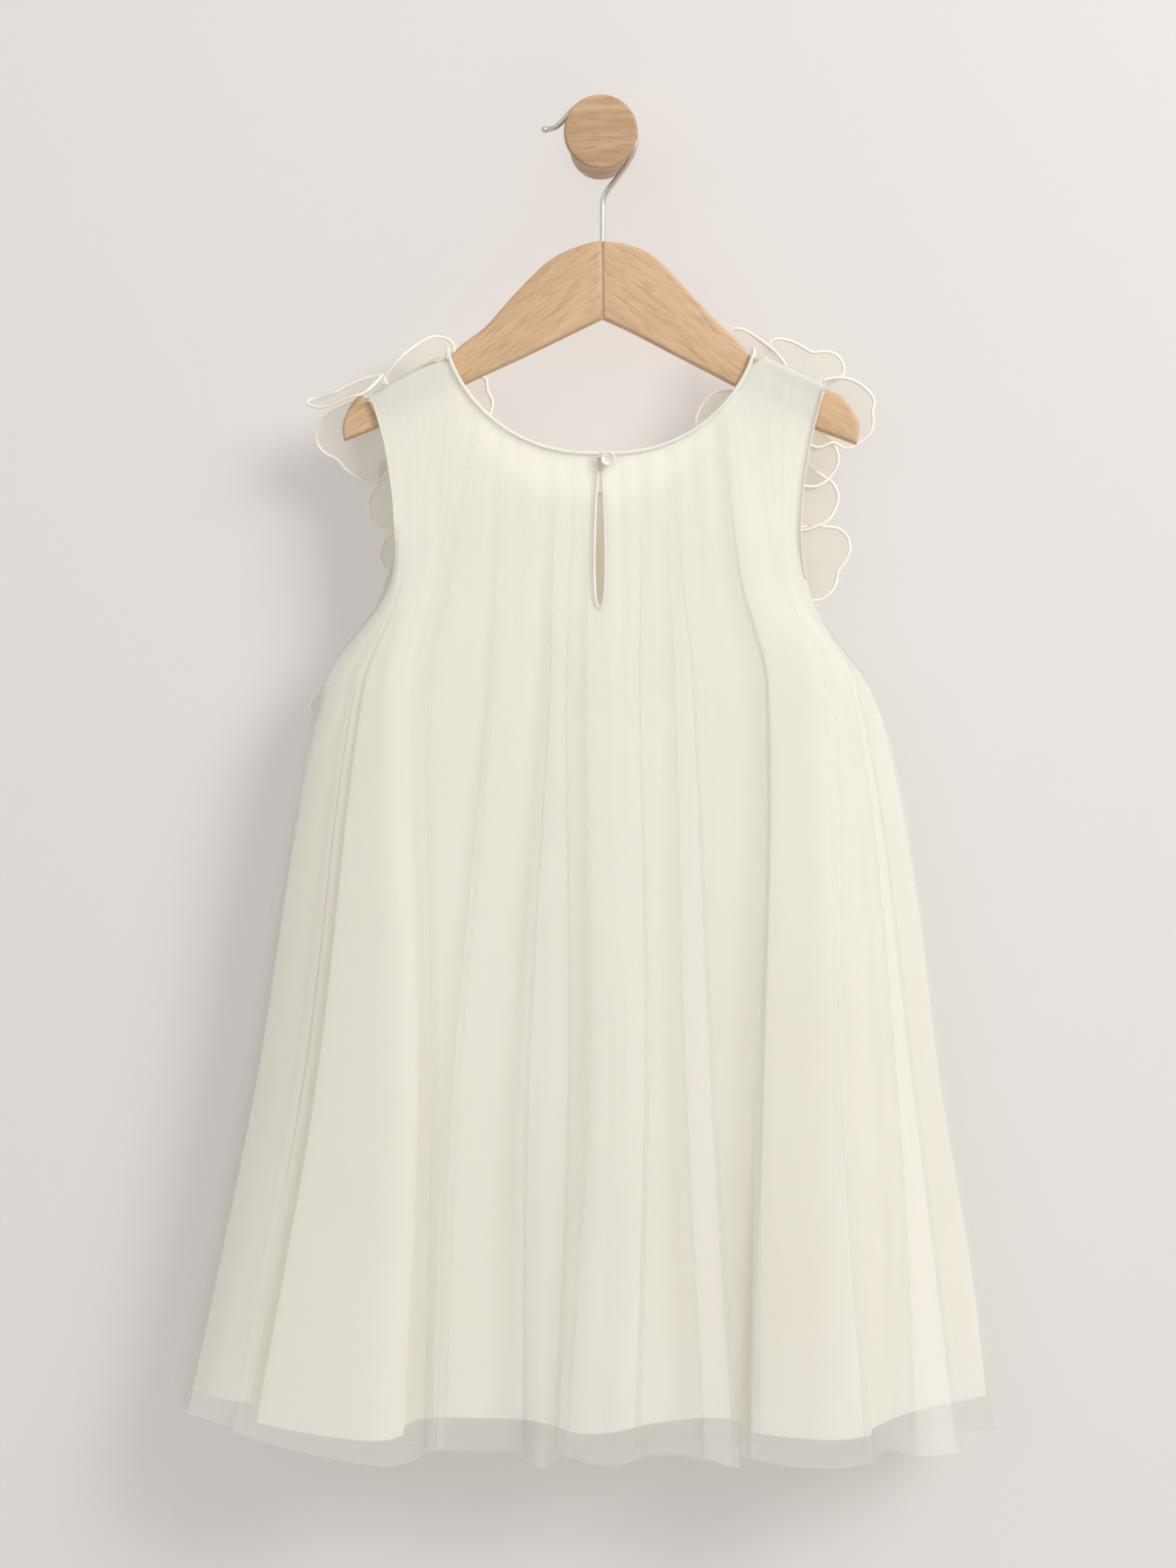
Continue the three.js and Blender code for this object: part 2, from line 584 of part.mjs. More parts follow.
// ---- Petals ----
// Sheer petals sewn on by their narrow end. base is that end, layer the place in the pile,
// rise how far y changes for each millimetre away from the base, and each lobe is [x, z, radius].
const PETALS = rows(["name", "base", "layer", "rise", "lobes"], [
  ["left_shoulder", [-109, -143], 0, 0.5, [[-96.2, -120.8, 6.9], [-113.9, -130.5, 6.3]]],
  ["left_cap", [-117, -166], 0, 0.06, [[-153.4, -171.8, 13.2], [-137.4, -187.2, 13.2]]],
  ["left_armhole_upper", [-103, -193], 1, 0.06, [[-125.4, -193.5, 5.6], [-124.2, -215.8, 12.3]]],
  ["left_armhole_lower", [-98, -232], 0, 0.06, [[-120.2, -241.6, 9.5], [-112, -250, 9]]],
  ["left_neck", [-98, -160], 0, 0.06, [[-73.9, -152.3, 10.3], [-80, -142, 7]]],
  ["left_side", [-143, -334], 0, 0.06, [[-162, -332, 8]]],
  ["right_shoulder_inner", [101, -138], 0, 0.12, [[81.9, -117.4, 6.3], [94.5, -124.8, 5]]],
  ["right_shoulder_outer", [119, -152], 1, 0.12, [[108.8, -124.8, 8.6], [132.8, -134, 10.6]]],
  ["right_cap", [118, -162], 0, 0.06, [[146, -153.4, 14.6], [148.9, -166, 12], [142.6, -174, 6.9]]],
  ["right_armhole_upper", [103, -184], 0, 0.06, [[126.5, -186.6, 13.2], [118, -178, 9]]],
  ["right_armhole_middle", [98, -208], 0.5, 0.06, [[125.4, -212.4, 14], [112, -200, 11]]],
  ["right_armhole_lower", [97, -240], 0, 0.06, [[132.8, -239.3, 13.5], [126, -257.6, 12.6]]],
  ["right_neck", [95, -164], 0, 0.06, [[71.6, -162, 14.9], [70.4, -144.3, 6.9]]],
]);
const PETAL_RAYS = 22;

// The outline of a petal: its reach from the base in each direction is that of its lobes.
function petalShape(base, lobes) {
  const polar = lobes.map(([x, z, radius]) => {
    const distance = Math.hypot(x - base[0], z - base[1]);
    return { distance, radius, angle: Math.atan2(z - base[1], x - base[0]) };
  });
  const first = polar[0].angle;
  const near = (angle) => first + Math.atan2(Math.sin(angle - first), Math.cos(angle - first));
  const spans = polar.map((l) => ({ ...l, angle: near(l.angle), half: Math.asin(l.radius / l.distance) }));
  const from = Math.min(...spans.map((l) => l.angle - l.half));
  const to = Math.max(...spans.map((l) => l.angle + l.half));
  const reach = (angle) => Math.max(...spans.map((l) => {
    const off = l.distance * Math.sin(angle - l.angle);
    const inside = l.radius ** 2 - off ** 2;
    return l.distance * Math.cos(angle - l.angle) + Math.sqrt(Math.max(0, inside));
  }));
  const outline = Array.from({ length: PETAL_RAYS + 1 }, (_, i) => {
    const angle = from + ((to - from) * i) / PETAL_RAYS;
    const r = reach(angle);
    return new THREE.Vector2(base[0] + r * Math.cos(angle), base[1] + r * Math.sin(angle));
  });
  return new THREE.Shape([new THREE.Vector2(...base), ...outline]);
}

// How far out the front's cloth stands under a petal.
function frontUnder(shape, clothPoints) {
  const box = new THREE.Box2().setFromPoints(shape.getPoints());
  box.expandByScalar(12);
  const under = clothPoints.filter((p) => box.containsPoint(new THREE.Vector2(p.x, p.z)));
  return Math.max(...under.map((p) => p.y));
}

function petal(spec, clothPoints) {
  const shape = petalShape(spec.base, spec.lobes);
  const y = frontUnder(shape, clothPoints) + GAP + spec.layer * PETAL_STEP;
  const geometry = new THREE.ExtrudeGeometry(shape, { depth: CLOTH, bevelEnabled: false });
  geometry.rotateX(Math.PI / 2);
  geometry.translate(0, y + CLOTH, 0);
  const position = geometry.attributes.position;
  for (let i = 0; i < position.count; i += 1) {
    const away = Math.hypot(position.getX(i) - spec.base[0], position.getZ(i) - spec.base[1]);
    position.setY(i, position.getY(i) + away * spec.rise);
  }
  const mesh = new THREE.Mesh(geometry, organza());
  mesh.name = `petal_${spec.name}`;
  return mesh;
}

// The one petal that turns over the end of the arm, on the back's side.
function overArmPetal() {
  const spec = { base: [-121, -151], lobes: [[-143.1, -145.8, 7.6], [-158, -151, 7]] };
  const shape = petalShape(spec.base, spec.lobes);
  const geometry = new THREE.ExtrudeGeometry(shape, { depth: CLOTH, bevelEnabled: false });
  geometry.rotateX(Math.PI / 2);
  geometry.translate(0, BACK_FACE - GAP, 0);
  const mesh = new THREE.Mesh(geometry, organza());
  mesh.name = "petal_left_over_arm";
  return mesh;
}

// ---- The whole ----
const dress = new THREE.Group();
const panels = [
  ["back_lining", BACK, "lining", 0, satin()],
  ["back_tulle_inner", BACK, "tulle", PITCH, tulle()],
  ["back_tulle_outer", BACK, "tulle", 2 * PITCH, tulle()],
  ["front_lining", FRONT, "lining", 0, satin()],
  ["front_tulle_inner", FRONT, "tulle", PITCH, tulle()],
  ["front_tulle_outer", FRONT, "tulle", 2 * PITCH, tulle()],
];
for (const spec of panels) dress.add(clothPanel(...spec));
dress.add(neckBinding(), button(), buttonLoop(), knot(), overArmPetal());
const frontPoints = surface(FRONT, "tulle", STACK).flat();
for (const spec of PETALS) dress.add(petal(spec, frontPoints));
dress.add(hangerArm("left"), hangerArm("right"), hook(), peg());

export default dress;
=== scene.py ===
"""Flower girl dress on a wooden hanger, which hangs from a round wall peg.

The tables are in millimetres, in the part's own frame: x to the right as the dress is seen from
the room, z up, and "out" away from the hanger's middle plane. Meshes are made in metres.
"""

import math

import bmesh
import bpy
import numpy as np
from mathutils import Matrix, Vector


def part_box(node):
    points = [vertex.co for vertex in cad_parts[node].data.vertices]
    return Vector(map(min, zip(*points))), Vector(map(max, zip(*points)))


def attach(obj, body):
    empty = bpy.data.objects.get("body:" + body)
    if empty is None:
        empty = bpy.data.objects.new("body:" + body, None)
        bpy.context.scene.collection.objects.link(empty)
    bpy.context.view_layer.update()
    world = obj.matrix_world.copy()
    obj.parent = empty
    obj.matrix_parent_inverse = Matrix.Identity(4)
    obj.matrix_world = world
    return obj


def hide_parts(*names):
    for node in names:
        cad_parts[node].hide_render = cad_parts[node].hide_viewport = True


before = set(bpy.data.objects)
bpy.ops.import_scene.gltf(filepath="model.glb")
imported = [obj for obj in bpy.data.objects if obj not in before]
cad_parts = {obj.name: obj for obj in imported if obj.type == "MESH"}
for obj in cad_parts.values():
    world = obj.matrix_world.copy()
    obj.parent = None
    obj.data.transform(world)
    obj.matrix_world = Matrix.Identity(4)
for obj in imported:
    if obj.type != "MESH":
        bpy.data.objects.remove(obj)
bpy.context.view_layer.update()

MM = 0.001
arm_low, arm_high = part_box("hanger_arm_left")
MID_Y = (arm_low.y + arm_high.y) / 2 / MM  # the hanger's middle plane
HALF_WOOD = (arm_high.y - arm_low.y) / 2 / MM
EDGE = 2.0  # rounding of the arm's upper edge
GAP = 0.3
LINING_D, INNER_D, OUTER_D = 0.6, 1.9, 3.2  # each layer's distance from the wood
STACK = 3.6

NECK_HALF = 89.3
NECK_TOP = -124.4
NECK_DROP = {"back": 61.2, "front": 84.0}
STRAP_OUTER = {"left": (-134.5, -150.0), "right": (131.1, -143.0)}
CHEST, RIB, KNEE, HEM = -258.0, -320.0, -550.0, -765.0
SLIT_X, SLIT_BOTTOM, SLIT_LENGTH, SLIT_HALF_WIDTH = -0.6, -275.0, 82.0, 2.9
FLARE = {"back": 14.0, "front": 10.0}
TULLE_FLARE = 5.0
PRESS_HALF = 0.3  # half of a turned fold's thickness at its edge
# The folds stand out by a share of what the table says. The inner tulle's share is smaller, its
# hem is a little lower, and its folds lie a little to the side.
UPPER_SIZE, UNDER_SIZE, UNDER_DROP, UNDER_SHIFT = 1.25, 1.0, -1.5, 4.0

# ---------------------------------------------------------------- tables of the cloth
# x of the sides at each height: armhole edge down to the chest, then the side seam
SIDES = {
    "left": {
        "z": (-150, -187, -235, -258, -276, -296, -320, -360, -440, -550, -665, -740),
        "tulle": (-134.5, -124.8, -120.4, -125, -132.5, -148.5, -162.5, -173.5, -190, -209.5,
                  -234.7, -252.5),
        "lining": (-134.5, -124.8, -120.4, -125, -131, -145, -158, -168.5, -183.5, -200.5,
                   -223.5, -240),
    },
    "right": {
        "z": (-143, -187, -229, -258, -276, -296, -320, -360, -440, -550, -665, -752),
        "tulle": (131.1, 121, 116.9, 120, 126.5, 139.5, 157.5, 171, 186, 200.5, 219.5, 230),
        "lining": (131.1, 121, 116.9, 120, 126, 138, 156, 169, 184, 198, 217, 227),
    },
}
# Each fold line runs from the top edge to the hem. x at five heights, how far it stands out at
# the rib and at the hem, the hem's height, how far the cloth turns back under the fold before
# and after the line (0 is no turn), and how far out that turn lies.
FOLDS = {
    ("back", "tulle"): [
        (-131, -121.5, -160.2, -199.1, -238.1, 0.5, 3, -741.3, 3, 0, 1),
        (-128, -119.1, -141.3, -169.6, -213.4, 0, 0, -748.5, 0, 0, 0),
        (-123, -116.5, -145.1, -177.9, -211.5, 3, 10, -750.4, 10, 0, 1),
        (-117, -113.4, -132.1, -153, -181.6, 6, 17, -758.2, 0, 0, 0),
        (-108, -108.4, -123, -120.2, -127.8, 8, 26, -767.4, 0, 0, 0),
        (-91.7, -101.5, -112.2, -107.5, -112.8, 7, 23, -766.2, 0, 0, 0),
        (-86, -94.5, -105.3, -100.7, -102.3, 6, 18, -762.5, 0, 0, 0),
        (-70, -86.1, -97.9, -93.5, -96.4, 4, 10, -760.1, 0, -8, 4),
        (-58, -60.8, -64.3, -85.8, -94.8, 2, 7, -760.4, 8, 0, 3),
        (-46, -47.8, -49.7, -62.3, -69.3, 3, 11, -760.8, 0, 0, 0),
        (-36, -36.4, -38.8, -49.6, -50.4, 2, 6, -760.3, 0, 0, 0),
        (-26, -28.5, -29.8, -43, -45.1, 5, 16, -764, 3.5, 0, 3),
        (-20.5, -22.9, -24.6, -29.7, -34.3, 7, 25, -769.8, 0, 0, 0),
        (-15.5, -17.4, -19.4, -17.1, -24.6, 5, 16, -764.5, 0, -3.5, 3),
        (-12, -13, -14, -12.5, -23.8, 2, 5, -763, 0, 0, 0),
        (-8, -8, -8.5, -8.6, -21.5, 3, 9, -763.4, 4, 0, 1),
        (-3.4, -3.4, -2.6, -4, -9.7, 3, 13, -766.7, 0, 0, 0),
        (2.2, 2.2, 2.8, 4.9, -0.1, 3, 13, -767.8, 0, 0, 0),
        (13, 12.9, 13.4, 15.7, 12.2, 4, 16, -767.9, 0, 0, 0),
        (24, 23.9, 23.8, 27.9, 22.4, 4, 14, -764.8, 0, -5, 1),
        (31, 31.8, 31.8, 35.6, 31, 1, 4, -763, 0, 0, 0),
        (38, 39.8, 42.7, 48.1, 59.1, 2, 8, -765.2, 3, 0, 1),
        (41, 47.7, 54.6, 66.1, 79.7, 4, 14, -770.4, 0, -5, 1),
        (56, 61.7, 63.6, 73.3, 83, 1, 4, -764.7, 0, 0, 0),
        (68, 77.6, 93.4, 88.9, 85.6, 4, 13, -764.5, 8, 0, 4),
        (77, 89.5, 107.2, 110.3, 109.2, 5, 21, -768.2, 0, 0, 0),
        (86, 99.4, 121, 133.8, 139.2, 6, 26, -768, 0, 0, 0),
        (91.7, 105.5, 133.1, 140.6, 155.7, 4, 18, -765.9, 0, -6, 13),
        (110, 109.5, 140.2, 156.4, 166.4, 1, 6, -759.4, 0, 0, 0),
        (116, 111.5, 145.1, 170.1, 180.8, 2, 9, -764, 3, 0, 3),
        (121, 112, 149.1, 181.9, 207.3, 2, 9, -762.3, 0, -4, 2),
    ],
    ("back", "lining"): [
        (-128, -119, -150, -184, -224, 0, 0.5, -734, 0, 0, 0),
        (-126, -118, -138, -163, -190, 0, 0, -738, 0, 0, 0),
        (-121, -115.6, -137.4, -164.7, -198.8, 2, 7, -746.4, 6, 0, 0),
        (-117, -113.6, -129.4, -146.7, -176.9, 4, 12, -750.7, 0, 0, 0),
        (-108, -109.6, -123.3, -115.7, -128.5, 6, 20, -756.1, 0, 0, 0),
        (-88, -97.7, -111.5, -106, -113.6, 4, 13, -752.7, 0, -4, 3),
        (-80, -89.8, -99.7, -96.4, -106.7, 1, 4, -743.9, 0, 0, 0),
        (-46, -47.9, -49.8, -61.6, -69.7, 2, 6, -744.2, 0, 0, 0),
        (-22, -23, -24.9, -29.8, -38.6, 1, 3, -745.3, 0, 0, 0),
        (-3.4, -3.4, -3, -4, -13.1, 2, 5, -753.4, 0, 0, 0),
        (2.2, 2.2, 3, 4.9, -0.1, 2, 5, -753.4, 0, 0, 0),
        (13, 12.9, 13.4, 15.8, 12.4, 2, 6, -751.6, 0, 0, 0),
        (31, 31.9, 31.9, 33.7, 29.4, 0, 1, -747.8, 0, 0, 0),
        (56, 59.8, 61.8, 69.5, 72, 0, 2, -743.4, 0, 0, 0),
        (70, 81.7, 97.5, 94.2, 86, 3, 9, -751.6, 3, 0, 2),
        (77, 89.6, 109.4, 112.8, 109.9, 4, 14, -754.3, 0, 0, 0),
        (86, 101.6, 123.3, 135.4, 139, 5, 19, -754.6, 0, 0, 0),
        (95, 107.6, 133.3, 141.6, 155.9, 3, 11, -753.1, 0, -4, 6),
        (110, 109.6, 140.4, 158.8, 174, 1, 3, -741.9, 0, 0, 0),
    ],
    ("front", "tulle"): [
        (-124, -115.5, -149, -190, -222, 2, 6, -756, 0, 0, 0),
        (-110, -109, -134, -168, -198, 0, 0, -760, 0, 0, 0),
        (-91.7, -100, -117, -147, -170, 4, 12, -768, 0, 0, 0),
        (-86, -88, -98, -121, -139, 0, 0, -764, 0, 0, 0),
        (-68, -72, -80, -98, -112, 4, 13, -770, 0, 0, 0),
        (-50, -56, -61, -74, -84, 0, 1, -766, 0, 0, 0),
        (-35, -39, -43, -51, -58, 4, 13, -771, 0, 0, 0),
        (-21, -23, -25, -30, -35, 0, 1, -767, 0, 0, 0),
        (-7, -8, -8, -8, -8, 4, 12, -771, 0, 0, 0),
        (8, 9, 10, 12, 15, 0, 1, -767, 0, 0, 0),
        (24, 26, 29, 36, 43, 4, 13, -771, 0, 0, 0),
        (39, 43, 47, 57, 66, 0, 0, -765, 0, 0, 0),
        (54, 61, 68, 82, 94, 4, 12, -770, 0, 0, 0),
        (70, 79, 88, 107, 122, 0, 1, -765, 0, 0, 0),
        (86, 94, 107, 131, 149, 4, 13, -768, 0, 0, 0),
        (91.7, 102, 125, 152, 173, 0, 0, -761, 0, 0, 0),
        (116, 111, 142, 176, 204, 2, 7, -760, 0, 0, 0),
    ],
    ("front", "lining"): [
        (-124, -115.5, -146, -184, -212, 1, 3, -736, 0, 0, 0),
        (-108, -108, -132, -165, -192, 0, 0, -739, 0, 0, 0),
        (-91.7, -100, -117, -145, -166, 2, 7, -746, 0, 0, 0),
        (-74, -80, -90, -110, -126, 0, 0, -745, 0, 0, 0),
        (-52, -58, -63, -78, -90, 2, 7, -750, 0, 0, 0),
        (-28, -31, -34, -40, -47, 0, 0, -746, 0, 0, 0),
        (-7, -8, -8, -8, -8, 2, 7, -750, 0, 0, 0),
        (16, 18, 20, 24, 29, 0, 0, -746, 0, 0, 0),
        (40, 44, 48, 59, 70, 2, 7, -750, 0, 0, 0),
        (66, 73, 80, 97, 112, 0, 0, -745, 0, 0, 0),
        (86, 94, 107, 131, 149, 2, 7, -746, 0, 0, 0),
        (112, 110, 140, 172, 196, 0, 0, -740, 0, 0, 0),
    ],
}
SIDE_HEMS = {
    ("left", "tulle"): -735, ("left", "lining"): -731,
    ("right", "tulle"): -755, ("right", "lining"): -735,
}
TURN_KNOTS = (-120.0, CHEST, RIB, KNEE, HEM)
TURN_SHARES = (0.08, 0.3, 0.55, 0.9, 1.0)  # share of a fold's turn at those heights
STRAP_SHARES = (0.0, 0.0, 0.35, 0.85, 1.0)  # the same for folds that start below the armholes
STRAP_X = 80.0

TOP_CLOSER = 0.75
TOP_STEP = 0.25  # between rows at the neck, where no cloth passes over the arm
ROWS_OVER_ARM = 7
ROWS_ABOVE = 18
ROWS_BELOW = 52
PER_SPAN = 6


def smooth(knots, values, at):
    """A smooth curve through values at knots, which rise or fall all the way."""
    knots, values, at = (np.asarray(a, float) for a in (knots, values, at))
    if knots[-1] < knots[0]:
        knots, values = knots[::-1], values[::-1]
    at = np.clip(at, knots[0], knots[-1])
    i = np.clip(np.searchsorted(knots, at) - 1, 0, len(knots) - 2)
    ends = np.arange(len(knots))
    low, high = np.maximum(ends - 1, 0), np.minimum(ends + 1, len(knots) - 1)
    slope = (values[high] - values[low]) / (knots[high] - knots[low])
    step = knots[i + 1] - knots[i]
    t = (at - knots[i]) / step
    m0, m1, rise = slope[i] * step, slope[i + 1] * step, values[i + 1] - values[i]
    return values[i] + t * (m0 + t * (3 * rise - 2 * m0 - m1 + t * (m0 + m1 - 2 * rise)))


def ramp(at, start, end):
    t = np.clip((np.asarray(at, float) - start) / (end - start), 0, 1)
    return t * t * (3 - 2 * t)


def neck_z(x, face):
    share = np.minimum(1, np.abs(x) / NECK_HALF)
    return NECK_TOP - NECK_DROP[face] * (1 - share**2.4) ** 0.7


def strap_z(x):
    outer_x, outer_z = STRAP_OUTER["left" if x < 0 else "right"]
    share = (abs(x) - NECK_HALF) / (abs(outer_x) - NECK_HALF)
    return NECK_TOP + (outer_z - NECK_TOP) * share


def side_x(side, z, layer):
    return smooth(SIDES[side]["z"], SIDES[side][layer], z)


def slit_half(z):
    """Half the width of the opening at the centre back."""
    share = np.clip((z - SLIT_BOTTOM) / SLIT_LENGTH, 0, 1)
    return SLIT_HALF_WIDTH * np.sin(np.pi * share**0.6) ** 0.55 * (z > SLIT_BOTTOM)


# ---------------------------------------------------------------- the cloth's surfaces
def line_rows(top_z, on_strap, hem_z, d):
    """z of one line's points, and their y where the line passes over the arm, with nan elsewhere."""
    arm_top = top_z - STACK - 2 * GAP
    if on_strap:
        centre_y, centre_z = HALF_WOOD - EDGE, arm_top - EDGE
        turn = np.radians([0, 0, 0, 22.5, 45, 67.5, 90])
        # on top of the arm the layers lie closer together than beside it
        radius = EDGE + GAP + d + TOP_CLOSER * (OUTER_D - d) * np.sqrt(np.abs(np.cos(turn)))
        y = centre_y + radius * np.sin(turn)
        y[:3] = (0.0, centre_y * 0.5, centre_y)
        z = centre_z + radius * np.cos(turn)
    else:
        y = np.full(ROWS_OVER_ARM, np.nan)
        z = top_z - TOP_STEP * np.arange(ROWS_OVER_ARM)
    above = z[-1] + (CHEST - z[-1]) * np.linspace(0, 1, ROWS_ABOVE + 1)[1:]
    below = CHEST + (hem_z - CHEST) * np.linspace(0, 1, ROWS_BELOW + 1)[1:]
    z = np.concatenate([z, above, below])
    return z, np.concatenate([y, np.full(ROWS_ABOVE + ROWS_BELOW, np.nan)])


def hang_of(face, layer, z):
    """How far the cloth swings out below the chest, apart from its folds."""
    down = np.maximum(0, (CHEST - z) / (CHEST - HEM))
    return (FLARE[face] + (TULLE_FLARE if layer == "tulle" else 0)) * down


def armhole_y(z, depth):
    """How far out the armhole's edge lies: the two faces meet at the side seam's top."""
    return GAP / 2 + ramp(z, CHEST - 2, CHEST + 34) * (depth - GAP / 2)


def control_lines(face, layer, d, under):
    """The cloth's control points, as an array [line][row] of x, y outwards, z and the mask of
    pressed edges, which also carries their painted highlight.

    The mask is 1 where a fold's edge is pressed, and there the tulle also gets a painted
    highlight; it is 0 elsewhere. under is for the tulle's lower layer, whose folds are
    shallower, lie a little way from the upper layer's and don't turn back.
    """
    lines = []
    depth = HALF_WOOD + GAP + d
    size, hem_drop = (UNDER_SIZE, UNDER_DROP) if under else (UPPER_SIZE, 0.0)

    def add(x, y, z, press_and_highlight=None):
        lines.append(np.stack([x, y, z, np.zeros_like(z) if press_and_highlight is None else press_and_highlight], axis=1))

    def side_line(side):
        outer_x, outer_z = STRAP_OUTER[side]
        z, arc = line_rows(outer_z, True, SIDE_HEMS[side, layer], d)
        y = np.where(np.isnan(arc), armhole_y(z, depth), arc)
        x = side_x(side, z, layer)
        x[:ROWS_OVER_ARM] = outer_x
        add(x, y, z)

    side_line("left")
    for top, chest, rib, knee, hem, rib_out, hem_out, hem_z, before, after, low in FOLDS[face, layer]:
        on_strap = abs(top) > NECK_HALF
        plain_top = abs(top) > STRAP_X
        top_z = strap_z(top) if on_strap else neck_z(top, face)
        z, arc = line_rows(top_z, on_strap, hem_z + hem_drop, d)
        x = smooth((top_z, CHEST, RIB, KNEE, hem_z), (top, chest, rib, knee, hem), z)
        if face == "back" and abs(top - SLIT_X) < 4:
            sign = math.copysign(1, top - SLIT_X)
            open_x = SLIT_X + sign * (slit_half(z) + 0.05)
            x = np.where(z > SLIT_BOTTOM, open_x, SLIT_X + (x - SLIT_X) * ramp(z, SLIT_BOTTOM, RIB))
        outs = (0, rib_out * (0.1 if plain_top else 0.5), rib_out, hem_out)
        out = size * smooth((top_z, CHEST, RIB, HEM), outs, np.maximum(z, HEM))
        base = depth + hang_of(face, layer, z)
        share = np.maximum(0, smooth(TURN_KNOTS, STRAP_SHARES if plain_top else TURN_SHARES, z))
        half = np.minimum(PRESS_HALF, out * 0.1)
        tuck_y = np.where(np.isnan(arc), base + low * share, arc)
        press_and_highlight = np.sqrt(share)
        shift = np.sign(before + after) * UNDER_SHIFT * share if under else 0.0

        def over_arm(y):
            return np.where(np.isnan(arc), y, arc)

        turned = bool(before or after)
        if before and not under:
            add(x + before * share, tuck_y, z)
            add(x, over_arm(base + out - half), z, press_and_highlight)
        add(x + shift, over_arm(base + out + half * turned), z, press_and_highlight if turned else None)
        if after and not under:
            add(x, over_arm(base + out - half), z, press_and_highlight)
            add(x + after * share, tuck_y, z)
    side_line("right")
    return np.array(lines)


def spline_columns(control):
    """A quadratic B-spline across the control lines, clamped at both ends."""
    padded = np.concatenate([control[:1], control, control[-1:]])
    columns = []
    for i in range(len(padded) - 2):
        for t in np.arange(PER_SPAN) / PER_SPAN:
            weights = (0.5 * (1 - t) ** 2, 0.5 + t - t * t, 0.5 * t * t)
            columns.append(sum(w * padded[i + k] for k, w in enumerate(weights)))
    columns.append(0.5 * (padded[-2] + padded[-1]))
    return np.array(columns)


def gathers(x_top, fall, phase):
    """Small puckers below the neck binding, which fade as the cloth falls."""
    fine = np.sin(1.31 * x_top + phase) * np.sin(0.37 * x_top + 2 * phase)
    fine = fine + 0.6 * np.sin(0.83 * x_top + 1.7 * phase)
    broad = np.sin(0.45 * x_top + 0.8 * phase) + 0.5 * np.sin(0.27 * x_top - phase)
    window = ramp(np.abs(x_top), 86, 62)
    return window * (0.32 * fine * np.exp(-fall / 42) + 0.55 * broad * np.exp(-fall / 120)) * ramp(
        fall, 0, 6
    )


def cloth_surface(face, layer, d, under, phase):
    """Points [column][row] of a layer: x, y, z, the mask of pressed edges (which also carries their
    painted highlight), the column's x at the top, and the fall.
    """
    control = control_lines(face, layer, d, under)
    if face == "back":
        cut = int(np.searchsorted(control[:, 0, 0], SLIT_X))
        halves = [spline_columns(control[:cut]), spline_columns(control[cut:])]
        slit = len(halves[0]) - 1
        grid = np.concatenate(halves)
    else:
        slit = None
        grid = spline_columns(control)
    tops = grid[:, 0, 0].copy()
    inside_neck = np.abs(tops) < NECK_HALF - 1.5
    start = neck_z(tops, face)
    rows = ROWS_OVER_ARM + ROWS_ABOVE
    shift = np.where(inside_neck, start - grid[:, 0, 2], 0)
    grid[:, :rows, 2] += shift[:, None] * np.linspace(1, 0, rows)[None, :]
    fall = np.maximum(0, np.where(inside_neck, start, grid[:, 0, 2])[:, None] - grid[:, :, 2])
    grid[:, :, 1] += np.where(inside_neck[:, None], gathers(tops[:, None], fall, phase), 0)
    grid[:, :, 1] = MID_Y + (-1 if face == "back" else 1) * grid[:, :, 1]
    columns = np.broadcast_to(tops[:, None], fall.shape)
    return np.concatenate([grid, columns[:, :, None], fall[:, :, None]], axis=2), slit


# ---------------------------------------------------------------- meshes
def linked(name, data):
    obj = bpy.data.objects.new(name, data)
    bpy.context.scene.collection.objects.link(obj)
    return obj


def mesh_object(name, vertices, faces, material):
    mesh = bpy.data.meshes.new(name)
    mesh.from_pydata([tuple(v * MM for v in p) for p in vertices], [], faces)
    mesh.update()
    mesh.materials.append(material)
    mesh.shade_smooth()
    return linked(name, mesh)


def clean(obj, merge=0.00002):
    """Welds what coincides and turns every face outwards."""
    bm = bmesh.new()
    bm.from_mesh(obj.data)
    bmesh.ops.remove_doubles(bm, verts=bm.verts, dist=merge)
    bmesh.ops.recalc_face_normals(bm, faces=bm.faces)
    bm.to_mesh(obj.data)
    bm.free()
    obj.data.update()
    return obj


def grid_object(name, points, material, slit, flip):
    """A sheet through the points. Between columns slit and slit + 1 it is open down to the slit's end."""
    columns, rows = points.shape[:2]
    z = points[:, :, 2]
    faces = []
    for c in range(columns - 1):
        for r in range(rows - 1):
            if c == slit and z[c, r] > SLIT_BOTTOM:
                continue
            quad = (c * rows + r, c * rows + r + 1, (c + 1) * rows + r + 1, (c + 1) * rows + r)
            faces.append(quad[::-1] if flip else quad)
    flat = points.reshape(-1, 6)
    obj = mesh_object(name, flat[:, :3], faces, material)
    # The mask of pressed fold edges; the tulle also paints a highlight along them.
    press_and_highlight = obj.data.attributes.new("press_and_highlight", "FLOAT", "POINT")
    press_and_highlight.data.foreach_set("value", np.clip(flat[:, 3], 0, 1) ** 5)
    corners = np.empty(len(obj.data.loops), dtype=np.int32)
    obj.data.loops.foreach_get("vertex_index", corners)
    layer = obj.data.uv_layers.new(name="cloth")
    layer.data.foreach_set("uv", (flat[corners, 4:6] * MM).ravel())
    return obj


def ring_faces(rings, sides, closed=False):
    faces = []
    for i in range(rings if closed else rings - 1):
        j = (i + 1) % rings
        for k in range(sides):
            m = (k + 1) % sides
            faces.append((i * sides + k, i * sides + m, j * sides + m, j * sides + k))
    return faces


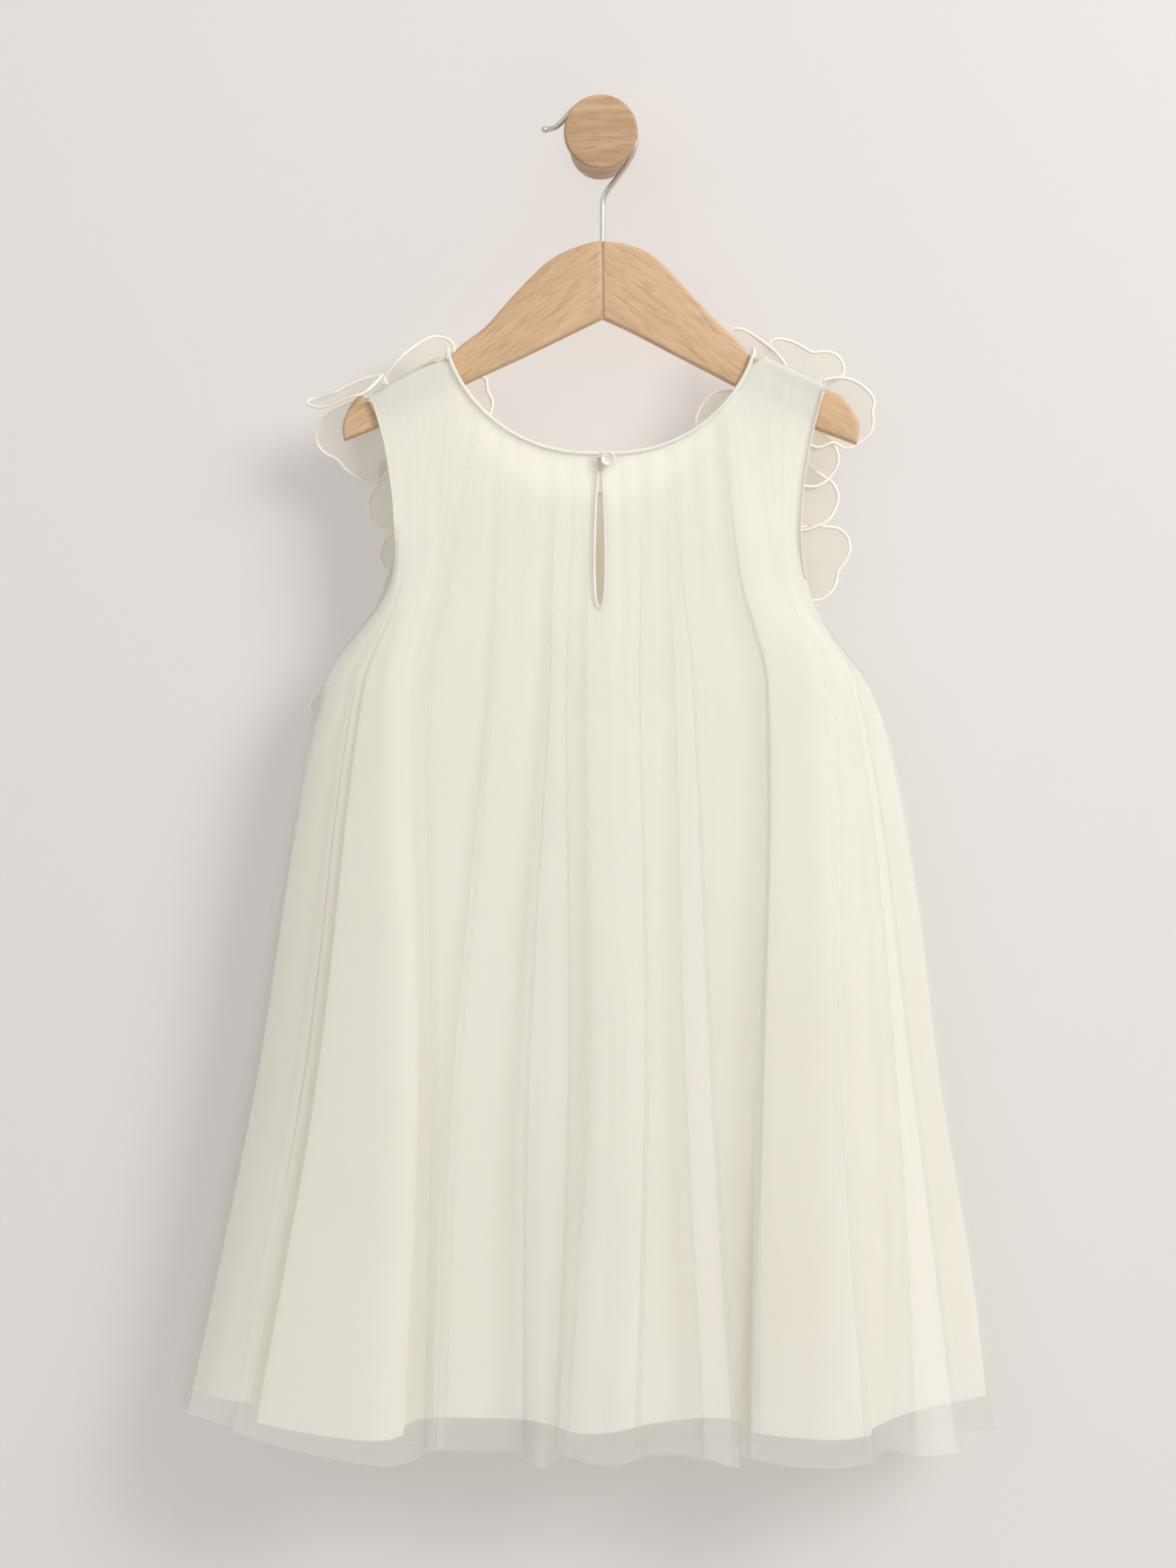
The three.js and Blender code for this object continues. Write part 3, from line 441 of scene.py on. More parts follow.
def tube(name, path, radius, material, sides, closed=False, squash=(1.0, 1.0), ups=None):
    """A tube along path, in millimetres.

    squash gives (across, up) factors for its section, and ups says which way up lies at each point.
    """
    path = np.asarray(path, float)
    count = len(path)
    if closed:
        ahead = np.roll(path, -1, axis=0) - np.roll(path, 1, axis=0)
    else:
        ahead = np.gradient(path, axis=0)
    ahead /= np.linalg.norm(ahead, axis=1)[:, None] + 1e-12
    vertices = []
    last = None
    for i in range(count):
        if ups is not None:
            up = np.asarray(ups[i], float)
        elif last is None:
            up = np.array([0.0, 1.0, 0.0]) if abs(ahead[i][1]) < 0.9 else np.array([1.0, 0, 0])
        else:
            up = last
        up = up - ahead[i] * np.dot(up, ahead[i])
        up /= np.linalg.norm(up) + 1e-12
        last = up
        across = np.cross(ahead[i], up)
        for k in range(sides):
            turn = 2 * math.pi * k / sides
            section = across * squash[0] * math.cos(turn) + up * squash[1] * math.sin(turn)
            vertices.append(path[i] + radius * section)
    faces = ring_faces(count, sides, closed)
    if not closed:
        faces.append(tuple(range(sides)))
        faces.append(tuple((count - 1) * sides + k for k in range(sides)))
    return clean(mesh_object(name, vertices, faces, material), merge=1e-7)


def between(a, b, start, end, at):
    return (end - at) / (end - start) * a + (at - start) / (end - start) * b


def curve_through(points, steps, closed=False):
    """A centripetal Catmull-Rom curve through the points."""
    points = [np.asarray(p, float) for p in points]
    count = len(points)
    if not closed:
        points = [2 * points[0] - points[1], *points, 2 * points[-1] - points[-2]]
    out = []
    for i in range(count if closed else count - 1):
        if closed:
            p = [points[(i + k - 1) % count] for k in range(4)]
        else:
            p = points[i : i + 4]
        t = [0.0]
        for a, b in zip(p, p[1:]):
            t.append(t[-1] + max(np.linalg.norm(b - a), 1e-6) ** 0.5)
        for s in range(steps):
            u = t[1] + (t[2] - t[1]) * s / steps
            a = [between(p[k], p[k + 1], t[k], t[k + 1], u) for k in range(3)]
            b = [between(a[k], a[k + 1], t[k], t[k + 2], u) for k in range(2)]
            out.append(between(b[0], b[1], t[1], t[2], u))
    if not closed:
        out.append(points[-2])
    return np.array(out)


def lathe(name, profile, centre, material, sides=64):
    """A body turned about Y. profile is (radius, y) in millimetres, first and last on the axis."""
    vertices = []
    for radius, y in profile:
        for k in range(sides):
            turn = 2 * math.pi * k / sides
            vertices.append(
                (centre[0] + radius * math.cos(turn), y, centre[1] + radius * math.sin(turn))
            )
    return clean(mesh_object(name, vertices, ring_faces(len(profile), sides), material))


# ---------------------------------------------------------------- materials
class Nodes:
    """A small helper to build a node material."""

    def __init__(self, name):
        self.material = bpy.data.materials.new(name)
        self.material.use_nodes = True
        self.tree = self.material.node_tree
        self.tree.nodes.clear()
        self.output = self.tree.nodes.new("ShaderNodeOutputMaterial")

    def add(self, kind, inputs=None, **settings):
        node = self.tree.nodes.new(kind)
        for key, value in settings.items():
            setattr(node, key, value)
        for key, value in (inputs or {}).items():
            socket = node.inputs[key]
            if isinstance(value, bpy.types.NodeSocket):
                self.tree.links.new(value, socket)
            else:
                socket.default_value = value
        return node

    def surface(self, shader):
        """Ends the material with a shader node."""
        self.tree.links.new(shader.outputs[0], self.output.inputs["Surface"])
        return self.material

    def principled(self, inputs):
        return self.add("ShaderNodeBsdfPrincipled", inputs)

    def mix_shaders(self, factor, first, second):
        return self.add(
            "ShaderNodeMixShader", {"Fac": factor, 1: first.outputs[0], 2: second.outputs[0]}
        )

    def mapped(self, vector, scale, turn=(0, 0, 0)):
        return self.add(
            "ShaderNodeMapping", {"Vector": vector, "Rotation": turn, "Scale": scale}
        ).outputs["Vector"]

    def coordinates(self, scale=(1, 1, 1), turn=(0, 0, 0)):
        return self.mapped(self.add("ShaderNodeTexCoord").outputs["Object"], scale, turn)

    def noise(self, vector, scale, detail=3.0, roughness=0.5):
        return self.add(
            "ShaderNodeTexNoise",
            {"Vector": vector, "Scale": scale, "Detail": detail, "Roughness": roughness},
        ).outputs["Fac"]

    def remap(self, value, low, high, to_low, to_high):
        return self.add(
            "ShaderNodeMapRange",
            {"Value": value, "From Min": low, "From Max": high, "To Min": to_low, "To Max": to_high},
        ).outputs["Result"]

    def spread(self, value, to_low=0.0, to_high=1.0):
        """Noise stays near the middle, so that range is stretched over the whole one."""
        return self.remap(value, 0.3, 0.7, to_low, to_high)

    def mix_colour(self, factor, a, b):
        return self.add("ShaderNodeMix", {0: factor, 6: a, 7: b}, data_type="RGBA").outputs[2]

    def maths(self, operation, a, b=0.0):
        return self.add("ShaderNodeMath", {0: a, 1: b}, operation=operation).outputs[0]

    def vectors(self, operation, inputs, output="Vector"):
        return self.add("ShaderNodeVectorMath", inputs, operation=operation).outputs[output]

    def paint(self, grain, first, second):
        """Matt paint whose colour drifts a little, with grain as the scale of the drift."""
        drift = self.noise(self.coordinates(), grain, 2.0)
        return self.add("ShaderNodeBsdfDiffuse", {"Color": self.mix_colour(drift, first, second)})

    def bump(self, height, strength, distance):
        return self.add(
            "ShaderNodeBump", {"Height": height, "Strength": strength, "Distance": distance}
        ).outputs["Normal"]


def rgba(r, g, b):
    return (r, g, b, 1.0)


def scaled(colour, shares):
    return rgba(*(part * share for part, share in zip(colour, shares)))


SATIN_WARMTH = (1.03, 0.955, 0.76)
# Colour of a fold's pressed edge: a painted highlight, whiter than the net.
PAINTED_EDGE_HIGHLIGHT = rgba(0.97, 0.97, 0.94)
PRESSED_COVER = 0.06


def satin_material(name, colour, shade, through):
    """Satin. The light that comes through it is warmer than what it scatters back."""
    nodes = Nodes(name)
    tint = nodes.mix_colour(nodes.spread(nodes.noise(nodes.coordinates(), 9.0, 4.0)), colour, shade)
    fine = nodes.noise(nodes.coordinates(scale=(1, 1, 0.25)), 620.0, 2.0)
    crease = nodes.noise(nodes.coordinates(scale=(1, 1, 0.35)), 34.0, 4.0, 0.55)
    height = nodes.maths("ADD", crease, nodes.maths("MULTIPLY", fine, 0.02))
    normal = nodes.bump(height, 0.3, 0.0012)
    cloth = nodes.principled({
        "Base Color": tint,
        "Roughness": nodes.spread(fine, 0.5, 0.6),
        "Normal": normal,
        "Sheen Weight": 0.12,
        "Specular IOR Level": 0.3,
    })
    glow = nodes.add(
        "ShaderNodeBsdfTranslucent", {"Color": scaled(colour, SATIN_WARMTH), "Normal": normal}
    )
    return nodes.surface(nodes.mix_shaders(through, cloth, glow))


def sheer_material(name, colour, cover, dense, calm, through, streaks):
    """Net or organza: part of it lets light straight through, the rest scatters it both ways.

    Threads scatter light much the same however the cloth is turned, so calm pulls the shading
    normal towards the dress's own front and back. The gathers at the neck cover more, by dense,
    and run down as streaks. A fold's pressed edge covers more, and there the colour is painted
    whiter: a painted highlight along the fold's edge.
    """
    nodes = Nodes(name)
    lie = nodes.add("ShaderNodeUVMap", uv_map="cloth").outputs["UV"]
    fine = nodes.noise(nodes.mapped(lie, (1, 0.02, 1)), 210.0, 1.0)
    broad = nodes.noise(nodes.mapped(lie, (1, 0.05, 1)), 80.0, 1.0)
    fall = nodes.add("ShaderNodeSeparateXYZ", {"Vector": lie}).outputs["Y"]
    near_neck = nodes.remap(fall, 0.02, 0.2, 2.0, 0.5)
    gathered = nodes.remap(fall, 0.05, 0.4, dense, 0.0)
    drift = nodes.spread(nodes.noise(nodes.coordinates(), 14.0, 3.0))
    tint = nodes.mix_colour(drift, colour, scaled(colour, (0.97, 0.97, 0.97)))
    press_and_highlight = nodes.add("ShaderNodeAttribute", attribute_name="press_and_highlight").outputs["Fac"]
    # Painted highlight: on the pressed fold edges the net's colour is mixed towards white.
    tint = nodes.mix_colour(press_and_highlight, tint, PAINTED_EDGE_HIGHLIGHT)
    across = nodes.add("ShaderNodeSeparateXYZ", {"Vector": nodes.coordinates()}).outputs["Y"]
    outwards = nodes.maths("SIGN", nodes.maths("SUBTRACT", across, MID_Y * MM))
    facing = nodes.add(
        "ShaderNodeVectorTransform",
        {"Vector": nodes.add("ShaderNodeCombineXYZ", {"Y": outwards}).outputs[0]},
        vector_type="NORMAL", convert_from="OBJECT", convert_to="WORLD",
    ).outputs[0]
    normal = nodes.add("ShaderNodeNewGeometry").outputs["Normal"]
    towards = nodes.vectors("DOT_PRODUCT", {0: normal, 1: facing}, "Value")
    amount = nodes.remap(nodes.maths("ABSOLUTE", towards), 0.0, 0.08, 0.0, calm)
    pull = nodes.maths("MULTIPLY", nodes.maths("SIGN", towards), amount)
    pulled = nodes.vectors("SCALE", {0: facing, "Scale": pull})
    steady = nodes.vectors("NORMALIZE", {0: nodes.vectors("ADD", {0: normal, 1: pulled})})
    diffuse = nodes.add("ShaderNodeBsdfDiffuse", {"Color": tint, "Roughness": 0.6, "Normal": steady})
    glow = nodes.add("ShaderNodeBsdfTranslucent", {"Color": tint, "Normal": steady})
    strong = nodes.maths("MULTIPLY", nodes.spread(fine, -streaks, streaks), near_neck)
    streak = nodes.maths("ADD", strong, nodes.spread(broad, -streaks, streaks))
    pressed = nodes.maths("MULTIPLY", press_and_highlight, PRESSED_COVER)
    covered = nodes.maths(
        "ADD", nodes.maths("ADD", streak, pressed), nodes.maths("ADD", gathered, cover)
    )
    clear = nodes.add("ShaderNodeBsdfTransparent", {"Color": rgba(1, 1, 1)})
    threads = nodes.mix_shaders(through, diffuse, glow)
    return nodes.surface(nodes.mix_shaders(covered, clear, threads))


def cord_material(name, colour, shade):
    nodes = Nodes(name)
    # The colour goes to shade where this noise is low, just where the bump sinks: painted shade in the
    # twist's hollows.
    twist_and_shade = nodes.noise(nodes.coordinates(), 900.0, 2.0)
    return nodes.surface(nodes.principled({
        "Base Color": nodes.mix_colour(nodes.remap(twist_and_shade, 0.35, 0.65, 0.0, 1.0), shade, colour),
        "Roughness": nodes.spread(twist_and_shade, 0.5, 0.65),
        "Normal": nodes.bump(twist_and_shade, 0.6, 0.0006),
        "Sheen Weight": 0.1,
    }))


def wood_material(name, turn, pale, dark, fleck, flat):
    """Beech: soft growth lines and short dark flecks along the grain."""
    nodes = Nodes(name)
    along = nodes.coordinates(turn=(0, turn, 0))
    stretched = nodes.mapped(along, (0.12, 1, 1))
    lines = nodes.noise(stretched, 260.0, 5.0, 0.6)
    broad = nodes.noise(stretched, 60.0, 3.0, 0.5)
    specks = nodes.noise(nodes.mapped(along, (0.08, 1, 1)), 1100.0, 1.0, 0.5)
    blend = nodes.maths(
        "ADD",
        nodes.remap(lines, 0.35, 0.7, 0.0, 0.6 * flat),
        nodes.remap(broad, 0.35, 0.7, 0.0, 0.5 * flat),
    )
    colour = nodes.mix_colour(blend, pale, dark)
    return nodes.surface(nodes.principled({
        "Base Color": nodes.mix_colour(nodes.remap(specks, 0.5, 0.75, 0.0, 0.6), colour, fleck),
        "Roughness": nodes.spread(lines, 0.45, 0.58),
        "Normal": nodes.bump(specks, 0.25, 0.0004),
        "Specular IOR Level": 0.35,
    }))


def steel_material(name, colour, bright):
    nodes = Nodes(name)
    brushed = nodes.noise(nodes.coordinates(scale=(1, 1, 0.05)), 1500.0, 2.0)
    return nodes.surface(nodes.principled({
        "Base Color": nodes.mix_colour(nodes.spread(brushed), colour, bright),
        "Metallic": 1.0,
        "Roughness": nodes.spread(brushed, 0.24, 0.34),
    }))


def plastic_material(name, colour):
    nodes = Nodes(name)
    drift = nodes.noise(nodes.coordinates(), 500.0, 3.0)
    tint = nodes.mix_colour(nodes.spread(drift), colour, scaled(colour, (0.9, 0.9, 0.9)))
    return nodes.surface(
        nodes.principled({"Base Color": tint, "Roughness": nodes.spread(drift, 0.3, 0.42)})
    )


SATIN = satin_material("lining_satin", rgba(0.925, 0.92, 0.90), rgba(0.91, 0.90, 0.875), 0.3)
# The bindings, the slit facing and the button loop share a darker copy of the lining satin: painted shade
# that keeps the rolled edges from looking lit.
SHADED_BINDING_SATIN = satin_material("binding_satin_painted_shade", rgba(0.83, 0.81, 0.74), rgba(0.81, 0.785, 0.71), 0.1)
TULLE = sheer_material(
    "tulle_net", rgba(0.90, 0.915, 0.87), cover=0.165, dense=0.05, calm=3.0, through=0.42,
    streaks=0.008,
)
ORGANZA = sheer_material(
    "petal_organza", rgba(0.75, 0.73, 0.66), cover=0.66, dense=0.0, calm=0.4, through=0.35,
    streaks=0.0,
)
CORD = cord_material("petal_cord", rgba(0.93, 0.89, 0.79), rgba(0.85, 0.79, 0.66))
ARM_TURN = math.radians(38)
ARM_WOOD = {
    side: wood_material(
        f"hanger_wood_{side}", turn, rgba(0.62, 0.43, 0.27), rgba(0.52, 0.34, 0.20),
        rgba(0.36, 0.21, 0.11), 1.0,
    )
    for side, turn in (("left", ARM_TURN), ("right", -ARM_TURN))
}
PEG_WOOD = wood_material(
    "peg_wood", 0.0, rgba(0.58, 0.40, 0.25), rgba(0.40, 0.25, 0.14), rgba(0.32, 0.18, 0.09), 1.5
)
STEEL = steel_material("hook_steel", rgba(0.62, 0.60, 0.56), rgba(0.74, 0.72, 0.68))
BUTTON_PLASTIC = plastic_material("button_plastic", rgba(0.80, 0.77, 0.68))


def keep(piece, slot, *nodes):
    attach(piece, "root")
    if nodes:
        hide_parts(*nodes)
    return piece


# ---------------------------------------------------------------- dress: lining and tulle
cloth = {}
for face in ("back", "front"):
    cloth[face] = []
    for name, node, layer, d, under, phase, material, slot in (
        (f"lining_{face}", f"{face}_lining", "lining", LINING_D, False, 0.0, SATIN, "lining_satin"),
        (f"tulle_{face}_outer", f"{face}_tulle_outer", "tulle", OUTER_D, False, 0.4, TULLE, "tulle"),
        (f"tulle_{face}_inner", f"{face}_tulle_inner", "tulle", INNER_D, True, 2.1, TULLE, "tulle"),
    ):
        points, slit = cloth_surface(face, layer, d, under, phase)
        piece = grid_object(name, points, material, slit, flip=face == "front")
        cloth[face].append(keep(piece, slot, node))


# ---------------------------------------------------------------- bindings
def shoulder_arc(x, top_z, depth, faces):
    """Points over the hanger's arm at x, from one face of the dress to the other."""
    first, last = faces
    points = []
    for share in np.linspace(0, 1, 9):
        turn = math.pi * share
        y = first * depth * math.cos(turn)
        lift = 1 - abs(math.cos(turn)) ** 3
        points.append((x, MID_Y + y, top_z - 6.5 + 6.5 * lift))
    return points


def resample(path, step):
    """The same path in even steps."""
    path = np.asarray(path, float)
    length = np.concatenate([[0], np.cumsum(np.linalg.norm(np.diff(path, axis=0), axis=1))])
    wanted = np.linspace(0, length[-1], max(2, int(round(length[-1] / step)) + 1))
    return np.stack([np.interp(wanted, length, path[:, i]) for i in range(3)], axis=1)


def facing_of(path, depth, arm_z):
    """Which way a binding faces: outwards, and above arm_z upwards as it passes over the arm."""
    ups = []
    for _, y, z in path:
        reach = (y - MID_Y) / depth
        ups.append((0, reach, math.sqrt(max(0, 1 - reach * reach)) * (z > arm_z) + 1e-3))
    return ups


def neck_binding():
    depth = HALF_WOOD + GAP + STACK / 2
    spread = np.sin(np.linspace(-1, 1, 61) * math.pi / 2) * (NECK_HALF - 0.4)
    back = [(x, MID_Y - depth, neck_z(x, "back")) for x in spread]
    front = [(x, MID_Y + depth, neck_z(x, "front")) for x in spread]
    left_back = [p for p in back if p[0] < SLIT_X - 0.9]
    right_back = [p for p in back if p[0] > SLIT_X + 0.9]
    path = [(SLIT_X - 0.7, MID_Y - depth, neck_z(0, "back")), *left_back[::-1]]
    path += shoulder_arc(-NECK_HALF, NECK_TOP + 0.2, depth, (-1, 1))
    path += front
    path += shoulder_arc(NECK_HALF, NECK_TOP + 0.2, depth, (1, -1))
    path += [*right_back[::-1], (SLIT_X + 0.7, MID_Y - depth, neck_z(0, "back"))]
    path = resample(path, 1.6)
    ups = facing_of(path, depth, -math.inf)
    return tube("neck_binding_roll", path, 1.0, SHADED_BINDING_SATIN, sides=14, squash=(1.2, 1.45), ups=ups)


def armhole_binding(side):
    depth = HALF_WOOD + GAP + STACK / 2
    outer_x, outer_z = STRAP_OUTER[side]
    heights = np.linspace(CHEST, outer_z - 5, 40)
    inward = -0.4 if side == "right" else 0.4
    x = side_x(side, heights, "tulle") + inward
    y = armhole_y(heights, depth)
    back = [(a, MID_Y - b, c) for a, b, c in zip(x, y, heights)]
    front = [(a, MID_Y + b, c) for a, b, c in zip(x, y, heights)]
    path = back + shoulder_arc(outer_x + inward, outer_z + 0.1, depth, (-1, 1)) + front[::-1]
    path = resample(path, 1.8)
    ups = facing_of(path, depth, outer_z - 8)
    return tube(f"armhole_binding_{side}", path, 1.0, SHADED_BINDING_SATIN, sides=10, squash=(0.5, 1.6), ups=ups)


keep(neck_binding(), "lining_satin", "neck_binding")
for side in ("left", "right"):
    keep(armhole_binding(side), "lining_satin")


def slit_edges():
    depth = HALF_WOOD + GAP + INNER_D + 0.4
    z = np.linspace(neck_z(0, "back") - 1, SLIT_BOTTOM, 44)
    out = 1.5 * ramp(z, -190, RIB)
    left = [(SLIT_X - slit_half(h) - 0.35, MID_Y - depth - o, h) for h, o in zip(z, out)]
    right = [(SLIT_X + slit_half(h) + 0.35, MID_Y - depth - o, h) for h, o in zip(z[::-1], out[::-1])]
    path = resample(left + [(SLIT_X, MID_Y - depth - 1, SLIT_BOTTOM - 0.6)] + right, 1.4)
    return tube("slit_facing", path, 0.9, SHADED_BINDING_SATIN, sides=8)


keep(slit_edges(), "lining_satin")

# ---------------------------------------------------------------- hanger, hook and peg
ARM_OUTLINES = {
    "left": {
        "top": [(-15.5, -65.3), (-29.8, -72.7), (-41.8, -83.6), (-53.2, -95.6), (-67.6, -111.6),
                (-80, -121)],
        "scoop": (-88, -136),
        "end": [(-138.6, -151.6), (-143.1, -153.4), (-149.4, -164.9), (-150.6, -172.3),
                (-149.6, -177.5)],
        "bottom": [(-130.5, -170), (-77.3, -143.7), (-42.9, -127.7), (-15, -114.2)],
    },
    "right": {
        "top": [(15, -63.3), (27.5, -68.1), (38, -76.6), (49.8, -89.3), (67, -107.6), (80, -119.8)],
        "scoop": (88, 131),
        "end": [(134, -148.8), (139.1, -151.1), (146.6, -159.7), (150.9, -168.3), (149.4, -179.8)],
        "bottom": [(124.8, -170.6), (76.7, -144.8), (42, -126.8), (17.2, -113.9)],
    },
}
MITRE_X, HANGER_TOP, HANGER_CROTCH = 0.9, -61.5, -106.5


def hanger_arm(side):
    arm = ARM_OUTLINES[side]
    sign = -1 if side == "left" else 1
    mitre = MITRE_X + sign * 0.12
    scoop = [(x, strap_z(x) - STACK - 2 * GAP) for x in arm["scoop"]]
    crown = [(sign * -15 + 2 * MITRE_X, arm["top"][0][1]), (mitre, HANGER_TOP), *arm["top"]]
    edge = curve_through([(x, 0, z) for x, z in [*crown, *scoop, *arm["end"]]], 8)
    edge = [p for p in edge if sign * (p[0] - mitre) >= 0]
    under = curve_through([(x, 0, z) for x, z in [*arm["bottom"], (mitre, HANGER_CROTCH)]], 6)
    outline = [(mitre, 0, HANGER_TOP), *edge, *under]
    curve = bpy.data.curves.new(f"arm_{side}", "CURVE")
    curve.dimensions = "2D"
    curve.fill_mode = "BOTH"
    curve.extrude = (HALF_WOOD - EDGE) * MM
    curve.bevel_depth = EDGE * MM
    curve.bevel_resolution = 4
    curve.offset = -EDGE * MM
    spline = curve.splines.new("POLY")
    spline.points.add(len(outline) - 1)
    for point, (x, _, z) in zip(spline.points, outline):
        point.co = (x * MM, z * MM, 0, 1)
    spline.use_cyclic_u = True
    holder = linked(f"arm_{side}", curve)
    bpy.context.view_layer.update()
    mesh = bpy.data.meshes.new_from_object(holder)
    bpy.data.objects.remove(holder)
    for v in mesh.vertices:
        v.co = Vector((v.co.x, MID_Y * MM - v.co.z, v.co.y))
    mesh.materials.clear()
    mesh.materials.append(ARM_WOOD[side])
    obj = clean(linked(f"arm_wood_{side}", mesh), 1e-6)
    obj.data.shade_smooth()
    obj.data.set_sharp_from_angle(angle=math.radians(40))
    return obj


for side in ("left", "right"):
    keep(hanger_arm(side), "hanger_wood", f"hanger_arm_{side}").visible_shadow = False

HOOK_ROUTE = [
    (1.1, -66), (1.1, -56), (1.1, -46), (1.3, -38), (2.2, -34.2), (4.2, -31), (11, -22),
    (17.2, -12.8), (20.3, -4), (19.6, 5.2), (15.6, 12.6), (9, 18), (0.5, 20.2), (-8, 20.1),
    (-14.5, 17.3), (-19.5, 12.6), (-23.6, 8), (-27.6, 5), (-32.6, 4.3),
]
WIRE_RADIUS, TIP_RADIUS = 1.6, 2.1


def hook_wire():
    route = curve_through([(x, MID_Y, z) for x, z in HOOK_ROUTE], 7)
    body = tube("hook_route", route, WIRE_RADIUS, STEEL, sides=20)
    bm = bmesh.new()
    bm.from_mesh(body.data)
    tip = bmesh.ops.create_uvsphere(bm, u_segments=24, v_segments=14, radius=TIP_RADIUS * MM)
    bmesh.ops.translate(bm, verts=tip["verts"], vec=Vector(route[-1]) * MM)
    bm.to_mesh(body.data)
    bm.free()
    body.data.shade_smooth()
    return body


keep(hook_wire(), "hook_steel", "hook_wire").visible_shadow = False

peg_low, peg_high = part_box("wall_peg")
PEG_RADIUS = (peg_high.x - peg_low.x) / 2 / MM
PEG_FRONT = peg_low.y / MM


def wall_peg():
    r, f = PEG_RADIUS, PEG_FRONT
    rounded = [(r - 1.6 + 1.6 * math.sin(a), f + 1.6 - 1.6 * math.cos(a))
               for a in np.radians([0, 18, 36, 54, 72, 90])]
    profile = [(0.01, f), (r * 0.5, f), *rounded, (r, f + 7), (r - 1, f + 8.6), (18, f + 9.2),
               (18, f + 12), (18, -0.6), (17.4, 0), (0.01, 0)]
    peg = lathe("peg_turned", profile, (0, 0), PEG_WOOD, sides=96)
    peg.data.set_sharp_from_angle(angle=math.radians(40))
    return peg


keep(wall_peg(), "peg_wood", "wall_peg").visible_shadow = False

# ---------------------------------------------------------------- button and loop
button_low, button_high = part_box("button")
BUTTON_X = (button_low.x + button_high.x) / 2 / MM
BUTTON_Z = (button_low.z + button_high.z) / 2 / MM
BUTTON_R = (button_high.x - button_low.x) / 2 / MM
BUTTON_FRONT, BUTTON_BACK = button_low.y / MM, button_high.y / MM


def button():
    r, f = BUTTON_R, BUTTON_FRONT
    profile = [(0.01, f + 0.75), (r * 0.55, f + 0.72), (r * 0.68, f + 0.35), (r * 0.76, f + 0.05),
               (r * 0.88, f), (r * 0.97, f + 0.3), (r, f + 0.9), (r * 0.96, f + 1.6),
               (r * 0.8, f + 2.1), (1.0, f + 2.15), (1.0, BUTTON_BACK), (0.01, BUTTON_BACK)]
    disc = lathe("button_disc", profile, (BUTTON_X, BUTTON_Z), BUTTON_PLASTIC, sides=48)
    holes = []
    for dx in (-1, 1):
        for dz in (-1, 1):
            centre = (BUTTON_X + dx * 0.95, BUTTON_Z + dz * 0.95)
            hole = lathe("hole", [(0.01, f - 1), (0.42, f - 1), (0.42, f + 1.7), (0.01, f + 1.7)],
                         centre, BUTTON_PLASTIC, sides=14)
            cut = disc.modifiers.new("hole", "BOOLEAN")
            cut.operation, cut.object, cut.solver = "DIFFERENCE", hole, "EXACT"
            holes.append(hole)
    graph = bpy.context.evaluated_depsgraph_get()
    mesh = bpy.data.meshes.new_from_object(disc.evaluated_get(graph))
    disc.modifiers.clear()
    disc.data = mesh
    for hole in holes:
        bpy.data.objects.remove(hole)
    disc.data.shade_smooth()
    disc.data.set_sharp_from_angle(angle=math.radians(35))
    return disc


keep(button(), "button_plastic", "button")

loop_low, loop_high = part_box("button_loop")
LOOP_Y = (loop_low.y + loop_high.y) / 2 / MM


def button_loop():
    start = SLIT_X - 3.6
    turns = [(BUTTON_X + 2.1 * math.cos(a), BUTTON_Z + 2.1 * math.sin(a))
             for a in np.radians(np.linspace(130, -130, 13))]
    route = [(start, BUTTON_Z + 1), (SLIT_X - 1.5, BUTTON_Z + 1.1), *turns,
             (SLIT_X - 1.5, BUTTON_Z - 1.1), (start, BUTTON_Z - 1)]
    path = curve_through([(x, LOOP_Y, z) for x, z in route], 4)
    return tube("loop_cord", path, 0.5, SHADED_BINDING_SATIN, sides=10)


keep(button_loop(), "lining_satin", "button_loop")

